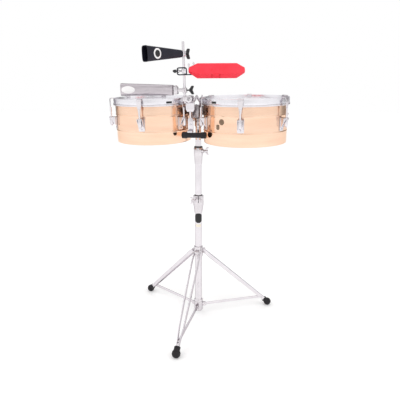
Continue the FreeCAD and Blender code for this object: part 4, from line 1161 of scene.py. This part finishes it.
def post_grip(half_height, radius=4.85):
    """An accessory clamp's jaws about the post, with a saw cut and four side bolts."""
    jaw = carved(brick(-9, 9, -8, 8, -half_height, half_height, 2.5), rod(radius, -40, 40, 0),
        brick(-0.7, 0.7, -12, 12, -half_height - 2, half_height + 2, 0))
    bolts = [screw_at(2.6, 1.5, -4.8, y, z, face) for z in (-half_height * 0.55, half_height * 0.55)
             for y, face in ((7.9, "y"), (-7.9, "-y"))]
    return joined(jaw, *bolts)


def high_bell():
    at = clamp_frame("high_bell")
    start, length, mouth, closed = 13.0, 185.0, (16.8, 28.2), (10.4, 13.7)
    tilt = sloped("high_bell", at, start + length)
    tab = panel(rectangle(8, start + 16, -9, 9, 3), -2, 2, 0.8)
    piece("high_bell", "high_bell", "black_steel", at,
        placed(joined(bell_body(start, length, mouth, closed), tab), tilt))
    piece("high_bell_clamp", "high_bell", "chrome", at, post_grip(heights("high_bell_clamp", at)[1]))
    share = 0.74
    side = closed[0] + (mouth[0] - closed[0]) * share
    flare = turn(math.degrees(math.atan2(mouth[0] - closed[0], length)))
    for name, paint, radius, lift in (("rim", "label_white", 18.5, 0.0), ("face", "label_black", 12.5, 0.35)):
        disc = turned([(radius, -1.5), (radius, 0.3), (radius - 0.3, 0.5)], 48)
        place = tilt @ shift(start + length * share, side + lift, 0) @ flare @ along("y")
        piece(f"high_bell_badge_{name}", "high_bell", paint, at, placed(disc, place))
    wing_bolt("high_bell_wing_nut", (3.0, 6, 8.0, 12, 40, 18, 9), x_hint=axis_of("high_bell_swivel"),
        paint="black_plastic")


def low_bell():
    at = clamp_frame("low_bell")
    start, length, mouth, closed = 46.6, 222.0, (19.6, 24.9), (15, 20.2)
    tilt = sloped("low_bell", at, start + length)
    piece("low_bell", "low_bell", "brushed_steel", at, placed(bell_body(start, length, mouth, closed), tilt))
    stub = brick(8, start - 1.6, -6, 6, -5, 8, 1.5)
    cap = brick(start - 19, start - 1.5, -12, 12, -15, 16, 4)
    bolts = [moved(joined(rod(3.2, 15, 20, 0.6), hexagon(5, 15.5, 18.5)), start - 10, y) for y in (-6, 6)]
    piece("low_bell_clamp", "low_bell", "zinc_casting", at, post_grip(heights("low_bell_clamp", at)[1]),
        stub, cap, *bolts)
    oval_r, oval_h, share = 29.0, 14.5, 0.846
    outline = [(oval_r * math.cos(math.tau * k / 64),
        oval_h * math.sin(math.tau * k / 64)) for k in range(64)]
    side = closed[0] + (mouth[0] - closed[0]) * share
    place = tilt @ shift(start + length * share, side + 0.2, 0) @ turn(180)
    piece("low_bell_badge", "low_bell", "label_white", at, placed(panel(outline, -0.5, 1.5, 0.2), place))
    wing_bolt("low_bell_wing_nut", (3.0, 11, 7.5, 12, 34, 16, 9), x_hint=axis_of("low_bell_swivel"),
        paint="black_plastic")


CREASE_SHARE, SKIRT_TUCK = 0.30, 0.48


def block_section(x, bottom, top, half_depth):
    """The block's section: a face that leans back over a crease, and a skirt that leans in under it."""
    crease = bottom + (top - bottom) * CREASE_SHARE
    foot = half_depth - half_depth * SKIRT_TUCK
    side = [(half_depth - 11.5, top), (half_depth - 8, top - 1.2), (half_depth - 6.6, top - 4),
        (half_depth, crease + 1), (half_depth - 2.4, crease - 0.6), (foot, bottom + 2),
        (foot - 2.5, bottom)]
    return [(x, y, z) for y, z in side] + [(x, -y, z) for y, z in side[::-1]]


def block_body(start, length, height, depth):
    """The block with chamfered ends, its sound slot underneath and two ribs' grooves on each face."""
    end, half, deep = start + length, height / 2, depth / 2
    stations = [(start, -6, 12, deep - 9), (start + 1.5, -8, 14, deep - 7), (start + 34, -half + 0.6,
        half - 0.6, deep - 0.4), (start + 38, -half, half, deep), (end - 36, -half, half, deep),
        (end - 32, -half + 0.6, half - 0.6, deep - 0.4), (end - 1.5, -9.5, 12.5, deep - 7),
        (end, -7, 10, deep - 9)]
    body = skinned([block_section(*station) for station in stations])
    middle = start + length / 2
    tools = [brick(middle - 75, middle + 75, -5.5, 5.5, -half - 5, -half + 34, 0)]
    crease = -half + height * CREASE_SHARE
    for face in (-deep, deep):
        inner, outer = sorted((face * 0.45, face * 1.1))
        for x in (start + 93, start + 124.5):
            tools.append(brick(x - 2, x + 2, face - 5, face + 5, half - 28, half - 10, 0))
            tools.append(brick(x - 2.4, x + 2.4, inner, outer, -half + 2, crease - 2, 0))
        tools.append(brick(start + 95.5, start + 122, face - 3.5, face + 3.5, crease - 1.6, crease + 1.6, 0))
    return carved(body, *tools)


def jam_block():
    at = clamp_frame("jam_block")
    start, length, height, depth = 18.3, 224.2, 57.5, 44.0
    tilt = sloped("jam_block", at, start + length)
    piece("jam_block", "jam_block", "red_plastic", at, placed(block_body(start, length, height, depth), tilt))
    cage = hoop(rectangle(-29, 12.5, -16.5, 14.5, 11, 6), 7.0, 4.6)
    arm = ribbon([(6, -14.3), (start + 16, -14.3)], [7, 7], 4.4)
    piece("jam_block_bracket", "jam_block", "black_steel", at, cage, arm)
    draw_bolt = placed(joined(threaded(3.2, 8, 29), hexagon(6.2, 19, 24)), along("-x"))
    studs = [moved(joined(rod(2.4, low, high, 0.8), hollow(2.4, 4.2, high - 7, high - 4, 0.4, 24)), x, y)
             for x, y, low, high in ((20, -6, 8, 28), (39, -8, 16, 33))]
    piece("jam_block_grip", "jam_block", "chrome", at, post_grip(8.5), draw_bolt, *studs)
    wing_bolt("jam_block_wing_nut", (3.0, 10, 6.5, 11, 30, 11, 7), 12, Y_AXIS, "black_plastic")


high_bell()
low_bell()
jam_block()
